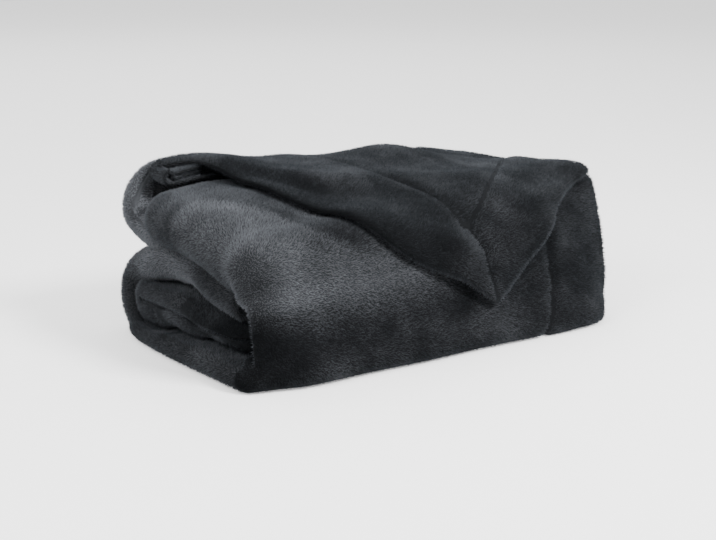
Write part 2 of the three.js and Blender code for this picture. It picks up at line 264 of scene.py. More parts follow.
@dataclass(frozen=True)
class FoldedStrip:
    """The strip of four layers on its way back and forth, as depths and heights.

    Args:
        section_x: The places along the strip that the bands' heights are given for.
        swell: The depths up to which a band has its front height, and from which it has its back height.
        band_gap: The gap from one band to the next.
        hem_thicker: How much thicker the cloth is in its turned hem.
        hem_begins: The width over which it becomes so.
        belly: How far the big front turn leans out towards the floor.
        top_begins: The depth at which the layers under the pulled-round one begin.
        inner_end: The depth of the strip's inner end, at the left and at the right.
        reach_width: How far along the strip the reach of its folded end is felt.
        plain_reach: How far a plain fold stands out at the left.
        roll_reach: How far a rounded end stands out where two bands share a roll.
        roll_softness: How softly it begins at its partner's side: 0 is square.
        cover_reach: How far a band's end stands out where it comes round its partner's.
        cover_width: The width of such an end, in pitches.
        cover_round: The share of the half circle that it goes round.
        cover_returns: The share of its way at which it begins to go back to its own layer.
        usual_pitch: The usual distance between two layers, which the faces' directions are worked out with.
        end_waits: Up to this share of a leaning turn its end keeps the form that it came with.
        closes: The shares of a turn over which its end closes.
        opens: The shares of a turn over which its end opens again.
    """

    section_x: tuple[float, ...] = (0, 40, 100, LENGTH)
    swell: Pair = (10.0, 95.0)
    band_gap: float = 0.9
    hem_thicker: float = 0.6
    hem_begins: float = 6.0
    belly: Table = ((0, 34, 109, 192, 250, 288, LENGTH), (0, 4, 9, 14, 19, 18, 3))
    top_begins: Table = ((0, 44, 62, 110, 200, LENGTH), (142, 134, 152, 120, 70, 60))
    inner_end: Pair = (21, 28)
    reach_width: float = 70.0
    plain_reach: float = 4.5
    roll_reach: float = 8.5
    roll_softness: float = 0.08
    cover_reach: float = 19.0
    cover_width: float = 7.9
    cover_round: float = 0.86
    cover_returns: float = 0.74
    usual_pitch: float = 4.0
    end_waits: float = 0.3
    closes: Pair = (0, 0.3)
    opens: Pair = (0.85, 1)

    def band_height(self, index: int, x: Array, y: Array) -> Array:
        """Returns a band's height at x along the strip and y from the front."""
        front = table_at(self.section_x, BANDS[index].front, x)
        back = table_at(self.section_x, BANDS[index].back, x)
        return lerp(front, back, smooth(*self.swell, y))

    def pitch(self, height: Array) -> Array:
        """Returns the distance from one layer to the next in a band of this height."""
        return (height - self.band_gap) / LAYERS

    def hem_extra(self, from_seam: Array) -> Array:
        """Returns how much thicker the cloth is, from_seam millimetres inside its turned hem."""
        return self.hem_thicker * smooth(-self.hem_begins / 2, self.hem_begins / 2, from_seam)

    def band_middle(self, index: int, x: Array, y: Array) -> Array:
        """Works out how high the middle of a band lies.

        Args:
            index: The band.
            x: The place along the strip.
            y: The depth.

        Returns:
            The middle's height above the floor.
        """
        z = OUTER_LAYER * self.pitch(self.band_height(FLOOR, x, y)) + SHEET / 2
        z = z + self.hem_extra(x - LENGTH + HEM)
        for i in range(1, index + 1):
            z = z + (self.band_height(i - 1, x, y) + self.band_height(i, x, y)) / 2
        return z

    def turn_starts(self, turn: Turn, x: Array) -> tuple[Array, Array]:
        """Finds where a turn meets its bands.

        Args:
            turn: The turn.
            x: The place along the strip.

        Returns:
            The depths at which it meets its lower and its upper band.
        """
        t = np.clip(x / LENGTH, 0, 1)
        low = lerp(turn.left.start[0], turn.right.start[0], t)
        if turn.leans:
            low = low - table_at(*self.belly, x)
        return low, lerp(turn.left.start[1], turn.right.start[1], t)

    def turn_ends(self, turn: Turn, x: Array) -> tuple[Array, Array]:
        """Returns the depths at which a turn begins and ends, in the strip's direction."""
        low, high = self.turn_starts(turn, x)
        return (high, low) if turn.source > turn.target else (low, high)

    def on_turn(self, turn: Turn, f: Array, x: Array, k: Array, e: Array) -> tuple[Array, Array]:
        """Finds a point on a turn.

        Args:
            turn: The turn.
            f: How far round it the point is, from 0 to 1.
            x: Its place along the strip.
            k: Its layer, in pitches from the strip's middle.
            e: How far outside the layer's middle it lies.

        Returns:
            The point's depth and height.
        """
        t = np.clip(x / LENGTH, 0, 1)
        begins, ends = self.turn_ends(turn, x)
        low, high = self.turn_starts(turn, x)
        from_z = self.band_middle(turn.source, x, begins)
        to_z = self.band_middle(turn.target, x, ends)
        from_height = self.band_height(turn.source, x, begins)
        to_height = self.band_height(turn.target, x, ends)
        swell = lerp(turn.left.swell, turn.right.swell, t)
        height = lerp(from_height, to_height, f) + swell * np.sin(np.pi * f)
        down = turn.source > turn.target
        outward = turn.side * (1 if down else -1)
        out = outward * (k * self.pitch(height) + e)
        angle = np.pi * (f - 0.5) * (-1 if down else 1)
        power = np.where(angle < 0, 2 / turn.squareness[0], 2 / turn.squareness[1])
        across = np.clip(np.cos(angle), 0, 1) ** power
        rise = np.sign(angle) * np.abs(np.sin(angle)) ** power
        upper = (rise + 1) / 2
        bulge_low = lerp(turn.left.bulge[0], turn.right.bulge[0], t)
        bulge_high = lerp(turn.left.bulge[1], turn.right.bulge[1], t)
        y = lerp(low, high, upper) + turn.side * (lerp(bulge_low, bulge_high, upper) + out) * across
        half = np.abs(to_z - from_z) / 2 + out
        return y, (from_z + to_z) / 2 + half * rise

    def pass_ends(self, index: int, x: Array) -> tuple[Array, Array]:
        """Finds where a band's pass begins and ends, in the strip's direction.

        Args:
            index: The band.
            x: The place along the strip.

        Returns:
            The two depths.
        """
        place = next(i for i, stretch in enumerate(ROUTE) if stretch.band == index)
        if place == 0:
            begins = table_at(*self.top_begins, x)
        else:
            begins = self.turn_ends(ROUTE[place - 1].turn, x)[1]
        if place == len(ROUTE) - 1:
            ends = lerp(*self.inner_end, np.clip(x / LENGTH, 0, 1))
        else:
            ends = self.turn_ends(ROUTE[place + 1].turn, x)[0]
        return begins, ends

    def on_pass(self, stretch: Stretch, f: Array, x: Array, k: Array, e: Array) -> tuple[Array, Array]:
        """Finds a point on a pass.

        Args:
            stretch: The pass.
            f: How far through it the point is, from 0 to 1.
            x: Its place along the strip.
            k: Its layer, in pitches from the strip's middle.
            e: How far outside the layer's middle it lies.

        Returns:
            The point's depth and height.
        """
        y = lerp(*self.pass_ends(stretch.band, x), f)
        out = k * self.pitch(self.band_height(stretch.band, x, y)) + e
        return y, self.band_middle(stretch.band, x, y) + stretch.heading * out

    def band_reach(self, index: int, y: Array) -> Array:
        """Returns how far a band's folded end stands out at depth y."""
        return lerp(*BANDS[index].reach, smooth(0, self.swell[1], y))

    def fold_reach(self, stretch: Stretch, f: Array, x: Array) -> Array:
        """Works out how far the folded end stands out on a stretch.

        Args:
            stretch: The stretch.
            f: How far along it each ring lies, as a column.
            x: The stations' places along the strip.

        Returns:
            The reach, for each ring and station.
        """
        if stretch.turn is None:
            return self.band_reach(stretch.band, lerp(*self.pass_ends(stretch.band, x), f))
        begins, ends = self.turn_ends(stretch.turn, x)
        source = self.band_reach(stretch.turn.source, begins)
        target = self.band_reach(stretch.turn.target, ends)
        return lerp(source, target, f) + stretch.turn.stands_out * np.sin(np.pi * f)

    def covering_end(self, angle: Array, roll: int) -> tuple[Array, Array]:
        """Works out the form of an end that comes round what lies inside it.

        Args:
            angle: The stations' angles, from 0 at the outer layer to pi at the lowest one.
            roll: 1 where the lowest layer lies inside, and -1 where the outer one does.

        Returns:
            How far each station stands out, and its layer coordinate.
        """
        way = angle / np.pi if roll > 0 else 1 - angle / np.pi
        phi = np.pi * self.cover_round * np.minimum(way / self.cover_returns, 1)
        back = np.clip((way - self.cover_returns) / (1 - self.cover_returns), 0, 1)
        out = lerp(self.cover_reach * np.sin(phi), 0, back)
        layer = lerp(OUTER_LAYER - self.cover_width * (1 - np.cos(phi)) / 2, -OUTER_LAYER, back)
        return out, layer * roll

    def end_shape(self, index: int, angle: Array) -> tuple[Array, Array]:
        """Works out the form of a band's fold round the left end.

        Args:
            index: The band.
            angle: The stations' angles, from 0 at the outer layer to pi at the lowest one.

        Returns:
            How far each station stands out, and its layer coordinate.
        """
        band = BANDS[index]
        own = np.sin(angle)
        k = OUTER_LAYER * np.cos(angle)
        if band.roll == 0:
            return self.plain_reach * own, k
        from_partner = (1 + band.roll * k / OUTER_LAYER) / 2
        rounded = np.sqrt(np.clip(1 - from_partner**2, 0, 1))
        shared = self.roll_reach * rounded * np.clip(own, 0, 1) ** self.roll_softness
        out, layer = self.covering_end(angle, band.roll)
        return lerp(shared, out, band.covers), lerp(k, layer, band.covers)

    def left_end(self, stretch: Stretch, f: Array) -> tuple[Array, Array, Array, Array]:
        """Works out the fold round the left end on one stretch.

        Args:
            stretch: The stretch.
            f: How far along it each ring lies, as a column.

        Returns:
            For each ring and station: how far it stands out, its layer coordinate, and the outer face's
            direction along X and across the layers.
        """
        angle = np.pi * np.arange(OUTER_FOLD_STEPS + 1) / OUTER_FOLD_STEPS
        if stretch.turn is None:
            out, k = (values + 0 * f for values in self.end_shape(stretch.band, angle))
        else:
            begins = self.end_shape(stretch.turn.source, angle)
            ends = self.end_shape(stretch.turn.target, angle)
            closing = self.covering_end(angle, 1)
            share = smooth(self.end_waits if stretch.turn.leans else 0, 1, f)
            closes = stretch.turn.closes * smooth(*self.closes, f) * (1 - smooth(*self.opens, f))
            out, k = (lerp(lerp(a, b, share), c, closes) for a, b, c in zip(begins, ends, closing))
        dx, dk = np.gradient(-out, axis=1), np.gradient(k * self.usual_pitch, axis=1)
        size = np.hypot(dx, dk) + 1e-9
        return tuple(values[:, 1:-1] for values in (out, k, dk / size, -dx / size))

    def shifted(self, x: Array, reach: Array) -> Array:
        """Returns where a point near the left end lies when its fold stands out by reach."""
        return x - reach * (1 - smooth(0, self.reach_width, x))


class Curve:
    """A smooth curve through a few points of the cloth, read by its length."""

    SAMPLES = 60  # to each span
    READINGS = 220  # for distances

    def __init__(self, points: tuple[tuple[float, ...], ...]) -> None:
        """Lays the curve through the points and measures it.

        Args:
            points: The points that it goes through, each flat or in space.
        """
        p = np.array(points, float)
        before = np.vstack([p[:1], p[:-1]])
        after = np.vstack([p[1:], p[-1:]])
        slope = (after - before) / 2
        slope[0], slope[-1] = (p[1] - p[0]) / 2, (p[-1] - p[-2]) / 2
        t = np.linspace(0, 1, self.SAMPLES, endpoint=False)[None, :, None]
        a, b = p[:-1, None], p[1:, None]
        va, vb = slope[:-1, None], slope[1:, None]
        cubic = (2 * a - 2 * b + va + vb) * t**3 + (-3 * a + 3 * b - 2 * va - vb) * t**2 + va * t + a
        self.points = np.vstack([cubic.reshape(-1, p.shape[1]), p[-1:]])
        steps = np.linalg.norm(np.diff(self.points, axis=0), axis=1)
        self.lengths = np.concatenate([[0], np.cumsum(steps)])

    @property
    def length(self) -> float:
        """The curve's length."""
        return float(self.lengths[-1])

    def at(self, share: Array) -> Array:
        """Returns the points at the given shares of the curve's length."""
        wanted = np.asarray(share, float) * self.length
        return np.stack([np.interp(wanted, self.lengths, self.points[:, i]) for i in (0, 1)], axis=-1)

    def distance(self, places: Array) -> Array:
        """Returns how far each flat place lies from the curve."""
        samples = self.at(np.linspace(0, 1, self.READINGS))
        flat = places.reshape(-1, 1, 2)
        return np.sqrt(((flat - samples[None]) ** 2).sum(-1)).min(1).reshape(places.shape[:-1])


# The top layer's pulled-round end, laid flat, as the solid has it. Its edges run from the folded end to the
# hanging tip, and from the tip to the back turn.
END_HEM_LINE = (
    (12, 148), (32, 150), (47, 142), (57, 118), (69, 67), (84, 26), (110, -9), (148, -36), (187, -67),
)
SIDE_HEM_LINE = (
    (187, -67), (216, -44), (241, -26), (263, -2), (284, 13), (299, 17.5), (305, 21), (308.5, 28),
    (312, 42), (320, 64), (327, 90), (328, 122), (316, 146), (LENGTH, 162),
)
# Along this line it bends down at the right, from near the tip to the back turn.
BEND_LINE = ((226, -22), (268, 10), (300, 42), (311, 80), (311, 122), (300, 148), (BEND_AT, 162))
# Its stitching runs round inside both hems, and from their inner corner to the tip.
SEAM_LINE = (
    (136, 132), (139, 112), (141, 92), (144, 72), (150, 57), (158, 45), (164, 33), (168, 20), (171, 9),
    (174, 2), (176, 0), (180, 2), (194, 11), (212, 24), (236, 43), (269, 74), (303, 104), (335, 130),
)
MITRE_LINE = ((176, 0), (182, -12), (184, -24), (182, -38), (183, -50), (187, -67))


@dataclass
class PulledCorner:
    """The top layer's end, pulled round so that its mitred corner hangs over the front.

    Args:
        strip: The strip whose top layer it is.
        bend_from_corner: How far from the tip the bend line meets the end hem.
        roll_x: Its right end rolls over from here on.
        roll_radius: The radius of that roll.
        held_to: As far forward as this, along the strip, the layers beneath still hold it up.
        sag: How far it sags where they don't.
        sag_distance: The distances from there over which the sag grows.
        sag_ends: Along the strip, where it fades.
        crest: How far it rises in a crest beside its end hem.
        crest_climbs: The distances from the hem over which it climbs.
        crest_falls: The distances over which it falls again.
        crest_fades: The shares of its way to the back turn over which the crest fades.
        hump: How far it rises in a broad hump.
        hump_place: The hump's flat middle.
        hump_size: Its half length and half depth.
        hump_fades: The shares of the way to the back turn over which it fades.
        front_fades: The flat depths over which the crest and the hump fade towards the front.
        edge_lift: How far its edge stands off the front, along the strip.
        settles: Over so much of its way down the front it comes to lie as close as that.
        edge_puff: How much thicker the hem shows towards its edge.
        edge_taper: The distances from the edge over which that ends.
        seam_depth: How deep the seam lies, at the front and at the back.
        seam_shallower: The flat depths between which it changes.
        mitre_depth: How deep the mitre lies.
        mitre_half_width: How far to either side the mitre draws the cloth in.
        edge_rounded: How far the turned edge is rounded off.
        edge_rounds_over: The width over which it is.
        front_steps: How many steps measure the way down the front.
        line_steps: How many places each way a line is looked up in.
    """

    strip: FoldedStrip
    bend_from_corner: float = 20.0
    roll_x: float = 306.0
    roll_radius: float = 8.0
    held_to: Table = ((0, 60, 100, 200, LENGTH), (158, 154, 80, 62, 60))
    sag: float = 8.0
    sag_distance: Pair = (8, 45)
    sag_ends: Pair = (265, 360)
    crest: float = 3.0
    crest_climbs: Pair = (5, 45)
    crest_falls: Pair = (60, 130)
    crest_fades: Pair = (0.4, 0.95)
    hump: float = 12.0
    hump_place: Pair = (195, 122)
    hump_size: Pair = (55, 42)
    hump_fades: Pair = (0.75, 1)
    front_fades: Pair = (-10, 40)
    edge_lift: Table = ((100, 140, 165, 190), (3.0, 3.5, 8.0, 8.0))
    settles: float = 45.0
    edge_puff: float = 1.6
    edge_taper: Pair = (10, 45)
    seam_depth: Pair = (2.6, 0.4)
    seam_shallower: Pair = (45, 90)
    mitre_depth: float = 2.4
    mitre_half_width: float = 2.6
    edge_rounded: float = 0.9
    edge_rounds_over: float = 5.0
    front_steps: int = 80
    line_steps: int = 90
    end_hem: Curve = field(init=False)
    side_hem: Curve = field(init=False)
    bend_line: Curve = field(init=False)
    seam: Curve = field(init=False)
    mitre: Curve = field(init=False)
    bend_share: float = field(init=False)

    def __post_init__(self) -> None:
        """Lays the hems' edges, the stitching and the bend line."""
        self.end_hem, self.side_hem = Curve(END_HEM_LINE), Curve(SIDE_HEM_LINE)
        self.seam, self.mitre = Curve(SEAM_LINE), Curve(MITRE_LINE)
        self.bend_share = 1 - self.bend_from_corner / self.end_hem.length
        start = tuple(self.end_hem.at(self.bend_share))
        self.bend_line = Curve((start, *BEND_LINE))

    def back_place(self, x: Array) -> Array:
        """Returns where the top layer passes into its back turn, laid flat."""
        y = self.strip.pass_ends(COVER, x)[1]
        return np.stack([self.strip.shifted(x, self.strip.band_reach(COVER, y)), y + 0 * x], axis=-1)

    def flat_place(self, s: Array, t: Array) -> Array:
        """Finds a point of the top layer laid flat.

        Args:
            s: Its place from the fold, 0, to the side hem, 1.
            t: Its place from the end hem, 0, to the back turn, 1.

        Returns:
            The flat x and y of each point.
        """
        s, t = np.broadcast_arrays(s, t)
        bend = BEND_AT / LENGTH
        along = np.minimum(s / bend, 1)
        a, b = along[..., None], t[..., None]
        between = lerp(self.end_hem.at(along * self.bend_share), self.back_place(along * BEND_AT), b)
        left = lerp(self.end_hem.at(0 * t), self.back_place(0 * t), b)
        right = lerp(self.bend_line.at(0 * t), self.back_place(BEND_AT + 0 * t), b)
        on_bend = self.bend_line.at(t)
        patch = between + lerp(left, on_bend, a) - lerp(left, right, a)
        past = np.clip((s - bend) / (1 - bend), 0, 1)[..., None]
        return np.where(past > 0, lerp(on_bend, self.side_hem.at(t), past), patch)

    def down_front(self, way: Array, x: Array, out: Array) -> tuple[Array, Array]:
        """Finds the points a given way down the front.

        Args:
            way: The way from the top of the front turn, along it.
            x: The points' places along the strip.
            out: How far outside the turn's middle they lie.

        Returns:
            The points' depths and heights.
        """
        top = self.strip.turn_starts(FLOOR_TO_LOBE, x)[1]
        pitch = self.strip.pitch(self.strip.band_height(LOBE_TOP, x, top))
        f = np.linspace(1, 0, self.front_steps)[:, None]
        y, z = self.strip.on_turn(FLOOR_TO_LOBE, f, x[None], (out / pitch)[None], 0.0)
        run = np.cumsum(np.hypot(np.diff(y, axis=0), np.diff(z, axis=0)), axis=0)
        run = np.vstack([np.zeros_like(x)[None], run])
        index = np.clip((run < way[None]).sum(0), 1, self.front_steps - 1)
        point = np.arange(len(x))
        share = (way - run[index - 1, point]) / (run[index, point] - run[index - 1, point])
        share = np.clip(share, 0, 1)
        depth, height = (lerp(values[index - 1, point], values[index, point], share) for values in (y, z))
        return depth, height

    def rise(self, flat: Array, from_end: Array, t: Array) -> Array:
        """Works out how far the top layer rises above its band, or sags below it.

        Args:
            flat: The flat places.
            from_end: How far each is from the end hem's edge.
            t: Its place from the end hem, 0, to the back turn, 1.

        Returns:
            The rise.
        """
        x, y = flat[..., 0], flat[..., 1]
        bare = smooth(*self.sag_distance, table_at(*self.held_to, x) - y)
        unheld = bare * (1 - smooth(*self.sag_ends, x))
        crest = self.crest * smooth(*self.crest_climbs, from_end) * (1 - smooth(*self.crest_falls, from_end))
        hump = self.hump * np.prod(
            [dip(flat[..., i] - self.hump_place[i], self.hump_size[i]) for i in (0, 1)], axis=0
        )
        raised = crest * (1 - smooth(*self.crest_fades, t)) + hump * (1 - smooth(*self.hump_fades, t))
        return raised * smooth(*self.front_fades, y) - self.sag * unheld

    def relief(self, flat: Array, from_end: Array, from_side: Array) -> Array:
        """Works out how the seams, the mitre and the turned edge shape the outer face.

        Args:
            flat: The flat places.
            from_end: How far each is from the end hem's edge.
            from_side: How far it is from the side hem's edge.

        Returns:
            How far each point moves outwards.
        """
        depth = lerp(*self.seam_depth, smooth(*self.seam_shallower, flat[..., 1]))
        seam = depth * dip(self.seam.distance(flat), SEAM_HALF_WIDTH)
        mitre = self.mitre_depth * dip(self.mitre.distance(flat), self.mitre_half_width)
        from_edge = np.minimum(from_end, from_side)
        edge = self.edge_rounded * (1 - smooth(0, self.edge_rounds_over, from_edge)) ** 2
        return -seam - mitre - edge

    def place(self, s: Array, t: Array, e: float) -> Array:
        """Finds points of the pulled-round layer, e millimetres outside its middle."""
        flat = self.flat_place(s, t)
        return self.raised(flat, np.broadcast_to(t, flat.shape[:-1]), e)

    def on_line(self, line: Curve, e: float) -> Array:
        """Finds the points that a line of the flat cloth takes.

        Args:
            line: The line.
            e: How far outside the cloth's middle the points lie.

        Returns:
            The points.
        """
        steps = np.linspace(0, 1, self.line_steps)
        grid = self.flat_place(steps[:, None], steps[None])
        gap = ((line.points[:, None, None] - grid) ** 2).sum(-1).reshape(len(line.points), -1)
        return self.raised(line.points, np.tile(steps, len(steps))[gap.argmin(1)], e)

    def raised(self, flat: Array, t: Array, e: float) -> Array:
        """Finds where flat places of the layer lie.

        Args:
            flat: The places.
            t: How far from the end hem, 0, to the back turn, 1, each one is.
            e: How far outside the layer's middle the points lie.

        Returns:
            The points.
        """
        from_end, from_side = self.end_hem.distance(flat), self.side_hem.distance(flat)
        at_edge = 1 - smooth(*self.edge_taper, np.minimum(from_end, from_side))
        thick = e + 0 * at_edge
        if e > 0:
            thick = e + self.edge_puff * at_edge + self.relief(flat, from_end, from_side)
        fx, fy = flat[..., 0], flat[..., 1]
        x = np.minimum(fx, LENGTH)
        roll = self.strip.turn_starts(FLOOR_TO_LOBE, x)[1]
        y = np.maximum(fy, roll)
        above = OUTER_LAYER * self.strip.pitch(self.strip.band_height(COVER, x, y)) + thick
        top = self.strip.band_middle(COVER, x, y) + above + self.rise(flat, from_end, t)
        over = np.maximum(fx - self.roll_x, 0)
        angle = np.minimum(over / self.roll_radius, math.pi / 2)
        hanging = np.maximum(0, over - self.roll_radius * angle)
        radius = self.roll_radius + thick
        bent_x = np.where(over > 0, self.roll_x + radius * np.sin(angle), fx)
        bent_z = np.where(over > 0, top - radius * (1 - np.cos(angle)) - hanging, top)
        result = np.stack([bent_x, fy, bent_z], axis=-1)
        drop = top - bent_z
        front = fy < roll
        xf, yf, rf = x[front], y[front], roll[front]
        on_top = top[front] - self.strip.band_middle(LOBE_TOP, xf, yf)
        close = self.strip.band_height(LOBE_TOP, xf, rf) / 2 + SHEET / 2 + thick[front]
        close = close + np.interp(xf, *self.edge_lift) * at_edge[front]
        out = lerp(on_top, close, smooth(0, self.settles, rf - fy[front]))
        down_y, down_z = self.down_front(rf - fy[front], xf, out)
        result[front] = np.stack([bent_x[front], down_y, down_z - drop[front]], axis=-1)
        return result


@dataclass(frozen=True)
class Crease:
    """A listed trough or ridge, which moves all cloth near its line.

    Args:
        name: What it is; it is not used.
        points: Its line, in the tables' coordinates.
        width: How far to either side it is felt.
        push: How far and which way the cloth on the line moves.
    """

    name: str
    points: tuple[tuple[float, float, float], ...]
    width: float
    push: tuple[float, float, float]


# Puckers in the left end of the core, where the pile parts.
CORE_PUCKERS = (
    ((5, 87, 43), (5, 80, 35), (5, 69, 27), (5, 58, 17)),
    ((5, 123, 30), (5, 116, 25), (5, 106, 17), (5, 96, 13)),
)

CREASES = (
    Crease(
        "under the flap", ((256, -6, 92), (268, -8, 80), (280, -9, 64), (288, -10, 50)), 7, (1.5, 4.6, -0.8)
    ),
    Crease("beside it", ((284, -8, 84), (292, -9, 66), (300, -9, 48)), 8, (0.5, 2.6, 0)),
    Crease("back, at the left", ((70, 140, 118), (125, 158, 112)), 25, (0, 0, 2.2)),
    Crease("back, at the middle", ((200, 125, 118), (262, 156, 106)), 26, (0, 0, 2.0)),
    Crease("back, at the right", ((300, 118, 104), (306, 150, 104)), 22, (0, 0, -2.2)),
    Crease("front's foot", ((40, -11, 4), (120, -15, 5), (210, -21, 5), (300, -20, 5)), 16, (0, -7, 0)),
    Crease("ring over the core", ((12, 36, 44), (12, 72, 44)), 17, (0, 0, -12)),
    Crease("ring's lip", ((14, 108, 45), (14, 142, 45)), 14, (-3, 0, -5)),
    Crease("core on the floor layer", ((3, 120, 18), (3, 150, 18)), 10, (0, 0, -6)),
    Crease("floor layer's back corner", ((-4, 150, 2), (-4, 174, 4)), 10, (4, 0, 0)),
    Crease("floor layer's front", ((8, 20, 14), (8, 55, 14)), 14, (0, 0, 3)),
    Crease("low right corner", ((311, -10, 0), (311, -6, 14)), 12, (-3.5, 1, 0)),
    Crease("right shoulder", ((307, 20, 94), (312, 30, 96)), 12, (2, -1.5, 5)),
    Crease("back hem", ((285, 88, 103), (314, 92, 103)), 20, (0, 0, 2.8)),
    Crease("front, low left", ((6, -8, 30), (22, -8, 18), (40, -8, 10)), 8, (0, 1.6, 0)),
    *(Crease("core pucker", line, 3.6, (4.8, 0, -0.8)) for line in CORE_PUCKERS),
)


class SmoothNoise:
    """A smooth random vector field made of a few waves."""

    def __init__(self, seed: int, shortest: float, longest: float, waves: int) -> None:
        """Draws the waves.

        Args:
            seed: The seed of the random numbers.
            shortest: The shortest wavelength.
            longest: The longest wavelength.
            waves: How many waves each component adds up.
        """
        rng = np.random.default_rng(seed)
        ways = unit(rng.normal(size=(3, waves, 3)))
        lengths = rng.uniform(shortest, longest, size=(3, waves, 1))
        self.ways = ways * 2 * np.pi / lengths
        self.phases = rng.uniform(0, 2 * np.pi, size=(3, waves))

    def at(self, points: Array) -> Array:
        """Returns the field's vector at each point, each component mostly between -1 and 1."""
        parts = [
            np.sin(points @ ways.T + phases).sum(-1) for ways, phases in zip(self.ways, self.phases)
        ]
        return np.stack(parts, axis=-1) / math.sqrt(self.ways.shape[1] * 2)


@dataclass(frozen=True)
class Unevenness:
    """A soft random shift of the whole stack, the same for each layer, so that no edge runs dead straight.

    Args:
        amount: How far the cloth moves at most.
        shortest: The shortest wavelength.
        longest: The longest wavelength.
        waves: How many waves are added up.
        lifts_from: Below this height, cloth moves less up and down, and on the floor not at all.
    """

    amount: float = 1.3
    shortest: float = 42.0
    longest: float = 120.0
    waves: int = 14
    lifts_from: float = 30.0

    def shift(self, points: Array) -> Array:
        """Works out how far the stack is shifted.

        Args:
            points: The points, in the tables' coordinates.

        Returns:
            How far each point moves.
        """
        noise = SmoothNoise(SEED, self.shortest, self.longest, self.waves)
        shift = noise.at(points) * self.amount
        shift[:, 2] *= smooth(0, self.lifts_from, points[:, 2])
        return shift


@dataclass(frozen=True)
class Stations:
    """The profile across the strip, station by station.

    Args:
        x: The stations' places along the strip.
        k: Their layers, in pitches from the strip's middle.
        nx: The outer face's direction along X.
        no: The outer face's direction across the layers.
    """

    x: Array
    k: Array
    nx: Array
    no: Array

    @property
    def outer_fold(self) -> Array:
        """Whether each station lies on the fold round the left end, where left_end gives its form."""
        return np.isnan(self.nx)

    @property
    def outer_layer(self) -> Array:
        """Whether each station lies on the outer layer."""
        return self.k == OUTER_LAYER

    @property
    def round_end(self) -> Array:
        """How far each station lies round the left end: 0 on the outer layer and 1 on those inside."""
        share = np.where(self.outer_layer, 0.0, 1.0)
        share[self.outer_fold] = np.linspace(0, 1, OUTER_FOLD_STEPS + 1)[1:-1]
        return share

    @classmethod
    def layer(cls, k: float, up: int, x: Array) -> "Stations":
        """Returns the stations of a flat layer."""
        return cls(x, np.full(len(x), k), np.zeros(len(x)), np.full(len(x), float(up)))

    @classmethod
    def fold(cls, x: float, reach: float, side: int, middle: float, outside: int, steps: int) -> "Stations":
        """Lays out the fold from one layer to the next higher one.

        Args:
            x: Where the fold begins.
            reach: How far it stands out.
            side: 1 at the right end and -1 at the left.
            middle: The layer coordinate of its middle.
            outside: 1 where the sheet's outer face is outside the fold, and -1 where it is inside.
            steps: How many steps it takes.

        Returns:
            Its stations.
        """
        angle = np.pi * np.arange(1, steps) / steps
        rise = -np.cos(angle)
        out = np.sin(angle)
        return cls(x + side * reach * out, middle + rise / 2, outside * side * out, outside * rise)

    @classmethod
    def left_fold(cls) -> "Stations":
        """Returns the stations of the fold round the left end, which has its form from left_end."""
        count = OUTER_FOLD_STEPS - 1
        unset = np.full(count, np.nan)
        return cls(np.full(count, OUTER_FOLD_X), unset, unset, unset)

    @classmethod
    def joined(cls, parts: list["Stations"]) -> "Stations":
        """Returns the parts one after the other."""
        return cls(*(np.concatenate([getattr(p, name) for p in parts]) for name in ("x", "k", "nx", "no")))


@dataclass(frozen=True)
class StripProfile:
    """The profile through the four layers and the three folds between them.

    Args:
        bent: How many stations the outer layer has where it bends down at the right.
        outer: How many it has besides.
        seen: The close stations on the lowest layer, where it is seen at the left.
        inner: How many stations the lowest layer has besides.
        right_x: Where the folds at the hemmed end begin.
        left_x: Where the inner fold at the folded end begins.
        reach: How far the inner folds stand out.
        right_steps: How many steps the fold at the hemmed end has.
        left_steps: How many steps the inner fold at the folded end has.
    """

    bent: int = 11
    outer: int = 92
    seen: tuple[float, ...] = (OUTER_FOLD_X, 11.0, 15.0, 21.0, 32.0)
    inner: int = 7
    right_x: float = LENGTH - 6
    left_x: float = 11.0
    reach: float = 1.5
    right_steps: int = 7
    left_steps: int = 8

    def stations(self) -> Stations:
        """Lays out the profile.

        Returns:
            Its stations, from the outer layer's hem to the innermost layer.
        """
        bent = np.linspace(LENGTH, BEND_AT, self.bent)
        outer = np.concatenate([bent, np.linspace(BEND_AT, OUTER_FOLD_X, self.outer)[1:]])
        lowest = np.concatenate([self.seen, np.linspace(self.seen[-1], self.right_x, self.inner)[1:]])
        middle = np.linspace(self.left_x, self.right_x, self.inner + 2)
        return Stations.joined([
            Stations.layer(OUTER_LAYER, 1, outer),
            Stations.left_fold(),
            Stations.layer(-OUTER_LAYER, -1, lowest),
            Stations.fold(self.right_x, self.reach, 1, -1, 1, self.right_steps),
            Stations.layer(-0.5, 1, middle[::-1]),
            Stations.fold(self.left_x, self.reach, -1, 0, -1, self.left_steps),
            Stations.layer(0.5, -1, middle),
        ])


